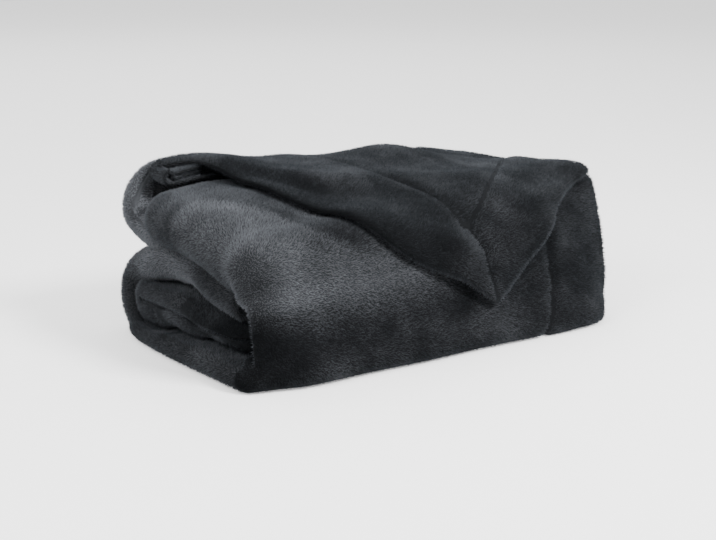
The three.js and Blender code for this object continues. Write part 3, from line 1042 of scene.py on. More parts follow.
@dataclass(frozen=True)
class PaintedLightAndShade:
    """Painted light and shade on the nap, from 0 to 1, or less where painted shade is darker than elsewhere.

    Painted light lies in one lit zone of the big front turn and the band over it. The way through the zone
    counts from 0 at the floor to 1 at the turn's top and 2 at the band's back.

    Args:
        usual: Where nothing else is said.
        under: Painted shade on the core's front and on the layers under the pulled-round one.
        under_x: Along the strip, where those begin.
        hollow: The shares of its way in over which the core, with painted shade beside the hollow, goes to
            the usual.
        ring: Painted light on the ring, at its front and at its back.
        ring_rises: The shares of the ring over which it changes.
        ring_falls: The shares of the ring's back turn over which it goes back to the usual.
        pulled_round: On the pulled-round layer.
        edge: So much painted shade there is above the end hem, where the edge rolls down.
        edge_width: The distances from the hem over which that ends.
        edge_along: Where along the strip it is so.
        below: Painted shade below the lit zone, along the strip.
        beside: Over and behind the zone.
        zone: Painted light in the zone, where it begins and further up.
        zone_begins: The ways over which the zone begins.
        zone_evens: The ways over which it evens out.
        zone_ends: The way at which it ends, along the strip.
        zone_soft: How far before and after that it fades.
        zone_right: Along the strip, where it fades at the right.
        zone_left: Along the strip, where it begins at the left, half way round the turn.
        left_slope: How much further left it begins where the way is longer by 1.
        round_low: How far round the left end it fades, at its foot.
        round_high: How far round the left end it fades, at its top.
        round_rises: The ways over which it goes from one to the other.
        corner: So much more painted light the zone has at its left end, which faces away from the light.
        corner_x: Along the strip, where that ends.
        tip: So much painted shadow lies beneath the hanging tip.
        tip_place: The middle of that painted shadow, along the strip and round the turn.
        tip_size: Its half length and half way.
    """

    usual: float = 0.3
    under: float = -0.3
    under_x: Pair = (28, 48)
    hollow: Pair = (0.05, 0.2)
    ring: Pair = (0.45, 0.95)
    ring_rises: Pair = (0.5, 0.8)
    ring_falls: Pair = (0.15, 0.45)
    pulled_round: float = 0.1
    edge: float = 0.32
    edge_width: Pair = (12, 34)
    edge_along: Table = ((55, 70, 200, 245), (0, 1, 1, 0))
    below: Table = ((18, 50, 190, 240), (0, 0.2, 0.2, 0.1))
    beside: float = 0.3
    zone: Pair = (0.76, 0.62)
    zone_begins: Pair = (0.47, 0.55)
    zone_evens: Pair = (0.5, 0.62)
    zone_ends: Table = (
        (0, 9, 20, 30, 38, 49, 57, 63, 78, 102, 124, 150),
        (1.66, 1.6, 1.51, 1.38, 1.31, 1.23, 0.97, 0.85, 0.73, 0.64, 0.59, 0.56),
    )
    zone_soft: float = 0.06
    zone_right: Pair = (130, 175)
    zone_left: Pair = (2, 10)
    left_slope: float = 110.0
    round_low: Pair = (0.6, 1.0)
    round_high: Pair = (0.25, 0.6)
    round_rises: Pair = (0.6, 1.0)
    corner: float = 0.08
    corner_x: Pair = (12, 38)
    tip: float = 0.4
    tip_place: Pair = (165, 0.468)
    tip_size: Pair = (13, 0.04)

    def in_lit_zone(self, way: Array, profile: Stations) -> Array:
        """Works out how far each station lies in the zone of painted light.

        Args:
            way: The rings' way through it, as a column.
            profile: The stations.

        Returns:
            The share of the zone's painted light that each has, from 0 to 1.
        """
        ends = np.interp(profile.x, *self.zone_ends)
        rises = smooth(*self.round_rises, way)
        fades = (lerp(low, high, rises) for low, high in zip(self.round_low, self.round_high))
        return (
            smooth(*self.zone_begins, way)
            * (1 - smooth(ends - self.zone_soft, ends + self.zone_soft, way))
            * (1 - smooth(*fades, profile.round_end))
            * smooth(*self.zone_left, profile.x + self.left_slope * (way - 0.5))
            * (1 - smooth(*self.zone_right, profile.x))
        )

    def painted_light_on_front(self, way: Array, profile: Stations) -> Array:
        """Works out the painted light and shade on the big front turn and on the band over it.

        Args:
            way: The rings' way through them, as a column.
            profile: The stations.

        Returns:
            The level of painted light and shade, for each ring and station.
        """
        over = smooth(*self.zone_begins, way) * (1 - smooth(*self.zone_right, profile.x))
        # Painted shade below the lit zone, and the usual level over and behind it.
        beside = lerp(np.interp(profile.x, *self.below), self.beside, over)
        high = lerp(*self.zone, smooth(*self.zone_evens, way))
        # Painted light at the zone's left end, which faces away from the light.
        high = high + self.corner * (1 - smooth(*self.corner_x, profile.x))
        # Painted shadow beneath the hanging tip.
        shade = dip(profile.x - self.tip_place[0], self.tip_size[0])
        shade = shade * dip(way - self.tip_place[1], self.tip_size[1])
        return lerp(beside, high, self.in_lit_zone(way, profile)) - self.tip * shade

    def inside(self, stretch: Stretch, f: Array) -> Array | float:
        """Works out the painted light on the ring and the painted shade on the core.

        Args:
            stretch: The stretch.
            f: How far along it each ring of points lies, as a column.

        Returns:
            The level of painted light and shade, and the usual one on the other stretches.
        """
        if stretch.turn is COVER_TO_WRAP:
            return self.ring[1]
        if stretch.band == RING:
            return lerp(*self.ring, smooth(*self.ring_rises, f))
        if stretch.turn is RING_TO_FLOOR:
            return lerp(self.ring[1], self.usual, smooth(*self.ring_falls, f))
        if stretch.turn is LOBE_TO_CORE:
            return self.under
        if stretch.band in (CORE_LOW, CORE_TOP):
            into = f if stretch.band == CORE_TOP else 1 - f
            return lerp(self.under, self.usual, smooth(*self.hollow, into))
        return self.usual

    def level(self, stretch: Stretch, f: Array, profile: Stations, corner: PulledCorner) -> Array:
        """Works out the painted light and shade on one stretch.

        Args:
            stretch: The stretch.
            f: How far along it each ring lies, as a column.
            profile: The stations.
            corner: The pulled-round end of the top layer.

        Returns:
            The level of painted light and shade, for each ring and station.
        """
        if stretch.turn is FLOOR_TO_LOBE or stretch.band == LOBE_TOP:
            return self.painted_light_on_front(f + (stretch.turn is None), profile)
        level = self.inside(stretch, f) + np.zeros((len(f), len(profile.x)))
        if stretch.band == COVER:
            top = profile.outer_layer
            # Painted shade on the layers under the pulled-round one.
            level[:] = lerp(self.usual, self.under, smooth(*self.under_x, profile.x))
            # Painted shade on the pulled-round layer above its end hem, where its edge rolls down.
            from_end = corner.end_hem.distance(corner.flat_place(profile.x[top] / LENGTH, f))
            darker = self.edge * np.interp(profile.x[top], *self.edge_along)
            level[:, top] = self.pulled_round - darker * (1 - smooth(*self.edge_width, from_end))
        return level


@dataclass
class ThrowSheet:
    """The cloth itself: a thin closed sheet on the solid's folds.

    Args:
        strip: The way of the strip.
        profile: The profile across it.
        painted_light_and_shade: The painted light and shade on the nap.
        unevenness: How uneven the stack is.
        front_seam: Where the side hem's seam lies along the strip, by the way round the big front turn.
        seam_depth: How deep a row of stitches lies.
        hollow: How far the front turn's inner layers stand back at the left, beside the core.
        hollow_edge: How far its outer layer does.
        hollow_round: How far round the left end the one passes into the other.
        hollow_begins: The shares of the turn over which they begin to stand back.
        hollow_ends: The shares of the turn over which they end.
        ply_at: How far round the left end a groove lies, where two plies of the upper back turn part, at
            that turn's beginning and at its end.
        ply_half_width: The groove's half width there.
        ply_depth: How deep it is.
        ply_begins: The shares of the turn over which it begins.
        ply_ends: The shares of the turn over which it ends.
        corner_back: How far the front's left end bends back round the stack's corner, at the floor and above.
        corner_z: The heights between which that changes.
        corner_x: Along the strip, where it is bent most and where it isn't any more.
        corner_y: The depths over which the bend fades.
        right_in: How far the hemmed end is drawn in beneath the top layer.
        right_x: Along the strip, where that begins and where it is so much.
        right_z: The heights over which it fades.
        pucker_reach: How far along X the pile parts in the core's puckers.
        pucker_spread: How far above and below their lines it does.
        seam_steps: How many points each seam is read at.
    """

    strip: FoldedStrip = field(default_factory=FoldedStrip)
    profile: Stations = field(default_factory=lambda: StripProfile().stations())
    painted_light_and_shade: PaintedLightAndShade = field(default_factory=PaintedLightAndShade)
    unevenness: Unevenness = field(default_factory=Unevenness)
    front_seam: Table = ((0, 0.2, 0.3, 0.4, 0.5, 0.65, 1), (229, 231, 235, 241, 248, 251, 253))
    seam_depth: float = 2.4
    hollow: float = 22.0
    hollow_edge: float = 1.0
    hollow_round: Pair = (0.25, 0.75)
    hollow_begins: Pair = (0.3, 0.38)
    hollow_ends: Pair = (0.48, 0.56)
    ply_at: Pair = (0.42, 0.54)
    ply_half_width: float = 0.06
    ply_depth: float = 4.4
    ply_begins: Pair = (0, 0.1)
    ply_ends: Pair = (0.6, 0.9)
    corner_back: Pair = (5, 13)
    corner_z: Pair = (4, 26)
    corner_x: Pair = (-5, 30)
    corner_y: Pair = (6, 26)
    right_in: float = 4.5
    right_x: Pair = (280, 311)
    right_z: Pair = (88, 102)
    pucker_reach: tuple[int, int] = (-6, 12)
    pucker_spread: tuple[float, ...] = (-1.5, 0, 1.5)
    seam_steps: int = 300
    corner: PulledCorner = field(init=False)
    points: Array = field(init=False)
    faces: Array = field(init=False)
    uv: Array = field(init=False)
    nap: Array = field(init=False)

    def __post_init__(self) -> None:
        """Works out the sheet's points and faces, in the tables' millimetres."""
        self.corner = PulledCorner(self.strip)
        rings, naps = [], []
        for place, stretch in enumerate(ROUTE):
            f = np.linspace(0, 1, stretch.steps + 1)[0 if place == 0 else 1 :, None]
            outer, inner = self.surface(stretch, f, 1), self.surface(stretch, f, -1)
            rings.append(np.concatenate([outer, inner[:, ::-1]], axis=1))
            # Painted light and shade, for each point of the ring.
            nap = self.painted_light_and_shade.level(stretch, f, self.profile, self.corner)
            naps.append(np.concatenate([nap, nap[:, ::-1]], axis=1))
        grid = np.concatenate(rings)
        stations = len(self.profile.x)
        self.nap = np.concatenate(naps).ravel()
        self.uv = self.chart(grid, stations)
        self.points = self.warped(grid.reshape(-1, 3))
        self.faces = self.quads(len(grid), grid.shape[1], stations)

    def hem_seam(self, turn: Turn | None, f: Array) -> Array:
        """Returns where along the strip the side hem's seam lies on a stretch."""
        return np.interp(f, *self.front_seam) if turn is FLOOR_TO_LOBE else LENGTH - HEM + 0 * f

    def from_ply(self, f: Array) -> Array:
        """Returns how far each station lies from the groove between two plies, round the left end."""
        return self.profile.round_end - lerp(*self.ply_at, f)

    def seams(self) -> Array:
        """Finds the lines where the pile parts.

        Returns:
            Close points along the seams, the puckers and the groove, in the tables' millimetres.
        """
        lines = [self.corner.on_line(line, SHEET / 2) for line in (self.corner.seam, self.corner.mitre)]
        f = np.linspace(0, 1, self.seam_steps)
        for turn in (FLOOR_TO_LOBE, COVER_TO_WRAP, RING_TO_FLOOR):
            x = self.hem_seam(turn, f)
            lines.append(np.stack([x, *self.strip.on_turn(turn, f, x, OUTER_LAYER, SHEET / 2)], axis=-1))
        for pucker in CORE_PUCKERS:
            line = Curve(pucker).points[::4]
            for x in np.arange(*self.pucker_reach):
                lines.extend(line * (0, 1, 1) + (x, 0, z) for z in self.pucker_spread)
        ring = next(stretch for stretch in ROUTE if stretch.turn is COVER_TO_WRAP)
        along = f[(f > self.ply_begins[0]) & (f < self.ply_ends[1]), None]
        groove = np.abs(self.from_ply(along)).argmin(1)
        lines.append(self.surface(ring, along, 1)[np.arange(len(along)), groove])
        return self.warped(np.concatenate(lines))

    def surface(self, stretch: Stretch, f: Array, side: int) -> Array:
        """Finds the points of the sheet's outer or inner face on one stretch.

        Args:
            stretch: The stretch.
            f: How far along it each ring lies, as a column.
            side: 1 for the outer face and -1 for the inner one.

        Returns:
            The points, ring by ring.
        """
        profile = self.profile
        k, nx, no = (values + 0 * f for values in (profile.k, profile.nx, profile.no))
        stands_out = 0 * k
        fold = profile.outer_fold
        stands_out[:, fold], k[:, fold], nx[:, fold], no[:, fold] = self.strip.left_end(stretch, f)
        from_seam = profile.x - self.hem_seam(stretch.turn, f)
        hem = self.strip.hem_extra(from_seam) - self.seam_depth * dip(from_seam, SEAM_HALF_WIDTH)
        e = side * (SHEET / 2) * no + np.where(profile.outer_layer & (side > 0), hem, 0)
        if stretch.turn is COVER_TO_WRAP:
            fades = smooth(*self.ply_begins, f) * (1 - smooth(*self.ply_ends, f))
            stands_out = stands_out - self.ply_depth * fades * dip(self.from_ply(f), self.ply_half_width)
        reach = self.strip.fold_reach(stretch, f, profile.x)
        if stretch.turn is FLOOR_TO_LOBE:
            hollow = smooth(*self.hollow_begins, f) * (1 - smooth(*self.hollow_ends, f))
            inner = smooth(*self.hollow_round, profile.round_end)
            reach = reach - hollow * lerp(self.hollow_edge, self.hollow, inner)
        x = self.strip.shifted(profile.x, reach) - stands_out + side * (SHEET / 2) * nx
        inside = np.clip(x, 0, LENGTH)
        if stretch.turn is None:
            y, z = self.strip.on_pass(stretch, f, inside, k, e)
        else:
            y, z = self.strip.on_turn(stretch.turn, f, inside, k, e)
        result = np.stack(np.broadcast_arrays(x, y, z), axis=-1)
        if stretch.band == COVER:
            top = profile.outer_layer
            result[:, top] = self.corner.place(profile.x[top][None] / LENGTH, f, side * SHEET / 2)
        return result

    @staticmethod
    def chart(grid: Array, stations: int) -> Array:
        """Lays the cloth out flat, by its lengths round the profile and along the strip.

        Args:
            grid: The sheet's points, ring by ring.
            stations: How many stations the profile has.

        Returns:
            The flat place of each face's four corners, with the faces in the order of quads.
        """
        round_it = np.linalg.norm(np.diff(grid, axis=1), axis=-1).mean(0)
        along = np.linalg.norm(np.diff(grid, axis=0), axis=-1).mean(1)
        u = (1 - CHART_EDGE) * np.concatenate([[0], np.cumsum(round_it)]) / round_it.sum()
        v = lerp(CHART_EDGE, 1 - CHART_EDGE, np.concatenate([[0], np.cumsum(along)]) / along.sum())
        low, left = np.meshgrid(v[:-1], u, indexing="ij")
        high, right = np.meshgrid(v[1:], np.append(u[1:], 1), indexing="ij")
        skin = np.stack([left, low, left, high, right, high, right, low], axis=-1)
        begins, ends = u[: stations - 1], u[1:stations]
        first, last, none, whole = (0 * begins + value for value in (v[0], v[-1], 0, 1))
        first_end = np.stack([begins, first, ends, first, ends, none, begins, none], axis=-1)
        last_end = np.stack([begins, last, begins, whole, ends, whole, ends, last], axis=-1)
        return np.concatenate([part.reshape(-1, 4, 2) for part in (skin, first_end, last_end)])

    @staticmethod
    def quads(rings: int, count: int, stations: int) -> Array:
        """Joins the points to the closed skin.

        Args:
            rings: How many rings of points there are.
            count: How many points each ring has.
            stations: How many stations the profile has.

        Returns:
            The rings' faces and the sheet's two ends, as rows of point numbers.
        """
        ring, point = np.meshgrid(np.arange(rings - 1), np.arange(count), indexing="ij")
        following = (point + 1) % count
        a, b = ring * count + point, ring * count + following
        skin = np.stack([a, a + count, b + count, b], axis=-1).reshape(-1, 4)
        i = np.arange(stations - 1)
        mirror = count - 1 - i
        last = (rings - 1) * count
        first_end = np.stack([i, i + 1, mirror - 1, mirror], axis=-1)
        last_end = last + np.stack([i, mirror, mirror - 1, i + 1], axis=-1)
        return np.concatenate([skin, first_end, last_end])

    def warped(self, points: Array) -> Array:
        """Adds the creases, the ends' bends and the unevenness.

        Args:
            points: The points.

        Returns:
            Where they lie then, still on or above the floor.
        """
        moved = points.copy()
        for crease in CREASES:
            gap = self.gap_to_line(points, np.array(crease.points, float))
            moved += np.array(crease.push) * dip(gap, crease.width)[:, None]
        x, y, z = points.T
        from_left = np.clip((self.corner_x[1] - x) / (self.corner_x[1] - self.corner_x[0]), 0, 1)
        back = lerp(*self.corner_back, smooth(*self.corner_z, z))
        moved[:, 1] += back * from_left**2 * (1 - smooth(*self.corner_y, y))
        moved[:, 0] -= self.right_in * smooth(*self.right_x, x) * (1 - smooth(*self.right_z, z))
        moved += self.unevenness.shift(points)
        moved[:, 2] = np.maximum(moved[:, 2], 0.0)
        return moved

    @staticmethod
    def gap_to_line(points: Array, line: Array) -> Array:
        """Measures each point's distance from a line of straight pieces.

        Args:
            points: The points.
            line: The line's own points.

        Returns:
            The distances.
        """
        gap = np.full(len(points), np.inf)
        for a, b in zip(line[:-1], line[1:]):
            along = np.clip(((points - a) @ (b - a)) / ((b - a) @ (b - a)), 0, 1)
            gap = np.minimum(gap, np.linalg.norm(points - a - along[:, None] * (b - a), axis=1))
        return gap


def in_frame(points: Array) -> Array:
    """Converts the tables' millimetres to metres in the frame."""
    return (points + np.array([*TABLE_ZERO, 0.0])) * MM


def add_piece(name: str, points: Array, faces: Array, material: bpy.types.Material) -> bpy.types.Object:
    """Makes an object that rides on the throw.

    Args:
        name: The piece's name.
        points: Its points in the frame, in metres.
        faces: Its faces, as rows of point numbers.
        material: Its material.

    Returns:
        The object, already in the scene.
    """
    mesh = bpy.data.meshes.new(name)
    mesh.from_pydata(points.tolist(), [], faces.tolist())
    mesh.polygons.foreach_set("use_smooth", np.ones(len(mesh.polygons), bool))
    mesh.materials.append(material)
    piece = bpy.data.objects.new(name, mesh)
    bpy.context.scene.collection.objects.link(piece)
    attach(piece, BODY)
    return piece


def add_chart(mesh: bpy.types.Mesh, uv: Array) -> None:
    """Gives a mesh its UV map from one place for each corner of its faces."""
    layer = mesh.uv_layers.new(name=UV_NAME)
    layer.data.foreach_set("uv", uv.astype(np.float32).ravel())


def add_attribute(mesh: bpy.types.Mesh, name: str, values: Array) -> None:
    """Gives a mesh a value for each of its points."""
    mesh.attributes.new(name, "FLOAT", "POINT").data.foreach_set("value", values)


class Side(Enum):
    """The sides of the throw that the pile's pieces cover, with the axis that they face."""

    TOP = (0, 0, 1)
    FRONT = (0, -1, 0)
    BACK = (0, 1, 0)
    LEFT = (-1, 0, 0)
    RIGHT = (1, 0, 0)

    @property
    def pieces(self) -> tuple[str, ...]:
        """The names of its pieces: a long side has two, one to each half."""
        name = f"pile_{self.name.lower()}"
        return (name,) if self.value[0] else (f"{name}_left", f"{name}_right")


@dataclass(frozen=True)
class PileFinish:
    """The short brushed pile. Its tufts are several times coarser than real ones, so that they show.

    Args:
        length: How long a tuft is.
        lengths: Its shortest and longest share of that.
        width: How wide it is at its root, to each side.
        widths: Its narrowest and widest share of that.
        tufts: How many tufts all pieces have together.
        sunk: How deep its root lies in the cloth.
        lean: How far the nap leans, as a share of its length.
        nap: The way it was brushed.
        ruffled: How much its lean changes from patch to patch.
        patches: The shortest and the longest wave of those patches, and how many waves they are made of.
        clumped: How much neighbouring tufts lean together.
        clumps: The shortest and the longest wave of those clumps, and how many waves they are made of.
        loose: How much each tuft leans by itself.
        shading: How much of a tuft's own form its shading keeps, from 0 to 1.
        shading_lean: How much of its lean its shading has.
        at_seam: The share of its length that a tuft has in a seam.
        seam_widths: How far from a seam its length begins to grow again, and where it is whole.
        on_floor: The share of its length that a tuft has next to the floor.
        room_share: The share of the room before it that a tuft may take up.
        least: What it may take up besides.
        lowest: No point of it lies lower than this above the floor.
    """

    length: float = 2.3
    lengths: Pair = (0.75, 1.15)
    width: float = 0.4
    widths: Pair = (0.7, 1.25)
    tufts: int = 262_000
    sunk: float = 0.3
    lean: float = 0.36
    nap: tuple[float, float, float] = (0.7, -0.35, -0.5)
    ruffled: float = 0.7
    patches: tuple[float, float, int] = (22, 75, 18)
    clumped: float = 0.24
    clumps: tuple[float, float, int] = (3.0, 6.5, 30)
    loose: float = 0.26
    shading: float = 0.4
    shading_lean: float = 0.35
    at_seam: float = 0.2
    seam_widths: Pair = (0.8, 2.6)
    on_floor: float = 0.4
    room_share: float = 0.55
    least: float = 0.2
    lowest: float = 0.05


@dataclass
class Pile:
    """The pile: small leaning tufts on all of the cloth that shows.

    Args:
        sheet: The cloth.
        seams: Close points along the lines where the pile parts, in millimetres of the frame.
        finish: What the pile is like.
        nearest: Cloth closer than this to what faces it has no room for pile.
        roomy: From this distance on the pile has its full length.
        off_face: A way out of a face begins so far off it.
        on_floor: Cloth that faces down closer than this to the floor lies on it.
        faces_down: The upward share of its direction below which cloth faces down.
        ways_out: How many ways out are tried from a face that has cloth before it.
        spread: How far they spread from its direction.
        even_steps: Steps that spread places evenly over a square, along each of its sides.
        jitter: How far they are then shifted at random.
    """

    sheet: bpy.types.Object
    seams: Array
    finish: PileFinish = field(default_factory=PileFinish)
    nearest: float = 2.4
    roomy: float = 9.0
    off_face: float = 0.2
    on_floor: float = 1.5
    faces_down: float = -0.3
    ways_out: int = 7
    spread: float = 0.97
    even_steps: Pair = (0.7548776662, 0.5698402910)
    jitter: float = 0.25

    def exposed(self) -> tuple[Array, Array]:
        """Finds the faces that can be seen from outside.

        Returns:
            Their numbers, and how far the pile is free over each.
        """
        tree = BVHTree.FromObject(self.sheet, bpy.context.evaluated_depsgraph_get())
        spread = unit(np.random.default_rng(SEED).normal(size=(self.ways_out, 3)))
        numbers, room = [], []
        for face in self.sheet.data.polygons:
            normal = face.normal
            start = face.center + normal * self.off_face * MM
            if start.z < self.on_floor * MM and normal.z < self.faces_down:
                continue
            hit = tree.ray_cast(start, normal)[3]
            free = self.roomy if hit is None else hit / MM
            if free < self.nearest:
                continue
            if hit is not None and not self.sees_out(tree, start, normal, spread):
                continue
            numbers.append(face.index)
            room.append(min(free, self.roomy))
        return np.array(numbers), np.array(room)

    def sees_out(self, tree: BVHTree, start: Vector, normal: Vector, spread: Array) -> bool:
        """Tells whether any of a few ways out from a face meets no cloth.

        Args:
            tree: The cloth.
            start: Where the ways begin.
            normal: The face's direction.
            spread: What is added to it for each way.

        Returns:
            Whether one does.
        """
        directions = ((normal + Vector(way) * self.spread).normalized() for way in spread)
        return any(tree.ray_cast(start, direction)[0] is None for direction in directions)

    def roots(self) -> tuple[Array, Array, Array, Array]:
        """Spreads the tufts' roots evenly over the exposed faces.

        Returns:
            Their places in millimetres of the frame, the cloth's directions there, the free room, and the
            painted light and shade there.
        """
        mesh = self.sheet.data
        rng = np.random.default_rng(SEED + 1)
        numbers, room = self.exposed()
        points, normals = np.empty((2, len(mesh.vertices) * 3))
        mesh.vertices.foreach_get("co", points)
        mesh.vertices.foreach_get("normal", normals)
        nap = np.empty(len(mesh.vertices))
        mesh.attributes[PAINTED_LIGHT].data.foreach_get("value", nap)
        areas = np.empty(len(mesh.polygons))
        mesh.polygons.foreach_get("area", areas)
        corners = np.array([mesh.polygons[i].vertices[:] for i in numbers])
        share = areas[numbers] / areas[numbers].sum() * self.finish.tufts
        counts = np.floor(share + rng.random(len(share))).astype(int)
        face = np.repeat(np.arange(len(numbers)), counts)
        order = np.arange(len(face))
        a, b = ((order * step + rng.random(len(face)) * self.jitter) % 1 for step in self.even_steps)
        weights = np.stack([(1 - a) * (1 - b), a * (1 - b), a * b, (1 - a) * b], axis=1)
        corners = corners[face]
        places = (points.reshape(-1, 3)[corners] / MM * weights[..., None]).sum(1)
        facing = unit((normals.reshape(-1, 3)[corners] * weights[..., None]).sum(1))
        return places, facing, room[face], (nap[corners] * weights).sum(1)

    def seam_gap(self, places: Array) -> Array:
        """Measures how far each place lies from the nearest seam.

        Args:
            places: The places, in millimetres of the frame.

        Returns:
            The distances.
        """
        tree = KDTree(len(self.seams))
        for i, point in enumerate(self.seams.tolist()):
            tree.insert(point, i)
        tree.balance()
        return np.array([tree.find(place)[2] for place in places.tolist()])

    def leans(self, places: Array, facing: Array, rng: np.random.Generator) -> Array:
        """Works out how each tuft leans.

        Args:
            places: The tufts' places.
            facing: The cloth's directions there.
            rng: The random numbers.

        Returns:
            The lean along the cloth, for a tuft that is 1 long.
        """
        finish = self.finish
        patches = SmoothNoise(SEED + 3, *finish.patches).at(places)
        clumps = SmoothNoise(SEED + 4, *finish.clumps).at(places)
        lean = np.array(finish.nap) * finish.lean + patches * finish.ruffled * finish.lean
        lean = lean + clumps * finish.clumped + rng.normal(size=places.shape) * finish.loose
        return lean - facing * (lean * facing).sum(1, keepdims=True)

    def tufts(self, material: bpy.types.Material) -> list[bpy.types.Object]:
        """Makes the tufts and sorts them into the pile's pieces.

        Args:
            material: The pieces' material.

        Returns:
            The pieces.
        """
        places, facing, room, nap = self.roots()
        finish = self.finish
        rng = np.random.default_rng(SEED + 2)
        lean = self.leans(places, facing, rng)
        way = unit(facing + lean)
        length = finish.length * rng.uniform(*finish.lengths, len(places))
        whole = lerp(finish.at_seam, 1, smooth(*finish.seam_widths, self.seam_gap(places)))
        pressed = lerp(finish.on_floor, 1, smooth(0, 2 * finish.length, places[:, 2]))
        length = np.minimum(length, finish.room_share * room + finish.least) * whole * pressed
        across = unit(np.cross(way, rng.normal(size=way.shape)))
        other = np.cross(way, across)
        wide = finish.width * rng.uniform(*finish.widths, (len(places), 1))
        base = places - facing * finish.sunk
        angles = (math.tau * i / 3 for i in range(3))
        root = [base + wide * (math.cos(angle) * across + math.sin(angle) * other) for angle in angles]
        points = np.stack([*root, places + way * length[:, None]], axis=1)
        points[..., 2] = np.maximum(points[..., 2], finish.lowest)
        outwards = points - points.mean(1, keepdims=True)
        outwards[:, 3] = way
        normals = lerp(facing[:, None], unit(outwards), finish.shading)
        normals = unit(normals + finish.shading_lean * lean[:, None])
        # The tip value lets the material paint shade towards each tuft's root, and more of it on the short
        # tufts in a seam.
        height = np.outer(whole**2, (0, 0, 0, 1))
        nearest = (facing @ np.array([side.value for side in Side], float).T).argmax(1)
        half = (places[:, 0] > 0).astype(int)
        pieces = []
        for i, side in enumerate(Side):
            for part, name in enumerate(side.pieces):
                chosen = (nearest == i) & ((half == part) | (len(side.pieces) == 1))
                tufts = (values[chosen] for values in (points, normals, height, nap))
                pieces.append(self.piece(name, side, *tufts, material))
        return pieces

    @staticmethod
    def piece(name: str, side: Side, points: Array, normals: Array, height: Array, nap: Array,
              material: bpy.types.Material) -> bpy.types.Object:
        """Makes one piece of joined tufts.

        Args:
            name: The piece's name.
            side: The side that they face.
            points: Four points for each tuft, in millimetres: its root's three and its tip.
            normals: The shading direction at each of them.
            height: How far up the pile each of them is, from 0 to 1.
            nap: The painted light and shade at each tuft.
            material: Their material.

        Returns:
            The piece.
        """
        corner = np.array([[0, 1, 3], [1, 2, 3], [2, 0, 3]])
        faces = (np.arange(len(points))[:, None, None] * 4 + corner).reshape(-1, 3)
        flat = points.reshape(-1, 3)
        piece = add_piece(name, flat * MM, faces, material)
        chart = flat[:, [i for i in range(3) if side.value[i] == 0]]
        chart = (chart - chart.min(0)) / np.ptp(chart, axis=0).max()
        add_chart(piece.data, chart[faces])
        add_attribute(piece.data, TIP, height.ravel())
        add_attribute(piece.data, PAINTED_LIGHT, np.repeat(nap, 4))
        piece.data.normals_split_custom_set_from_vertices(normals.reshape(-1, 3).tolist())
        return piece


@dataclass(frozen=True)
class PlushFinish:
    """The look of microfibre plush that was dyed dark and brushed.

    Its fibres give the eye painted shade between them, paler tips, painted light and shade in zones of the
    cloth, brushed patches and a faint sheen, but no gloss.

    Args:
        name: The material's name.
        root: Its colour between the fibres, which paints the shade that they cast on each other.
        tip: Its colour on the fibres' tips, in painted light and in pale patches.
        pressed: The tips' colour in painted shade and in dark patches.
        patch: The brushed patches: their size in millimetres, and their noise's detail and roughness.
        clump: The clumps of fibre, in the same terms.
        fibre: The finest grain, in the same terms. Real fibres are far finer and wouldn't show.
        patchy: How much paler or darker the patches make the nap.
        clumped: How bright the tips are in the darkest and in the palest clumps.
        noise: The part of a noise's range that counts.
        bump: The grain's height.
        bump_strength: How strongly it shades.
        filled: How pale it is between the tips too, where painted light lies strongest.
        roughness: Its roughness.
        specular: How much light the fibres' surfaces reflect.
        sheen: How strong the fibres' sheen is.
        sheen_roughness: How broad it is.
        sheen_tint: Its colour.
    """

    name: str = "brushed_microfibre_plush"
    # The root colour paints shade between the fibres; the tips go from pressed in painted shade to tip in
    # painted light.
    root: str = "0b0c0d"
    tip: str = "56585c"
    pressed: str = "151719"
    patch: tuple[float, float, float] = (38.0, 3.0, 0.55)
    clump: tuple[float, float, float] = (2.2, 2.0, 0.6)
    fibre: tuple[float, float, float] = (0.7, 1.0, 0.5)
    patchy: Pair = (-0.22, 0.22)
    clumped: Pair = (0.7, 1.2)
    noise: Pair = (0.3, 0.7)
    bump: float = 0.25
    bump_strength: float = 0.6
    filled: float = 0.35
    roughness: float = 0.95
    specular: float = 0.05
    sheen: float = 0.1
    sheen_roughness: float = 0.5
    sheen_tint: str = "aab2bd"


def add_node(
    tree: bpy.types.NodeTree,
    kind: str,
    inputs: dict[str | int, object] | None = None,
    settings: dict[str, object] | None = None,
) -> bpy.types.Node:
    """Adds a node.

    Args:
        tree: The tree that it goes into.
        kind: The node's type.
        inputs: What each input gets: an output socket to link, or a value.
        settings: The node's own properties.

    Returns:
        The node.
    """
    node = tree.nodes.new(kind)
    for name, value in (settings or {}).items():
        setattr(node, name, value)
    for name, value in (inputs or {}).items():
        if isinstance(value, bpy.types.NodeSocket):
            tree.links.new(value, node.inputs[name])
        else:
            node.inputs[name].default_value = value
    return node


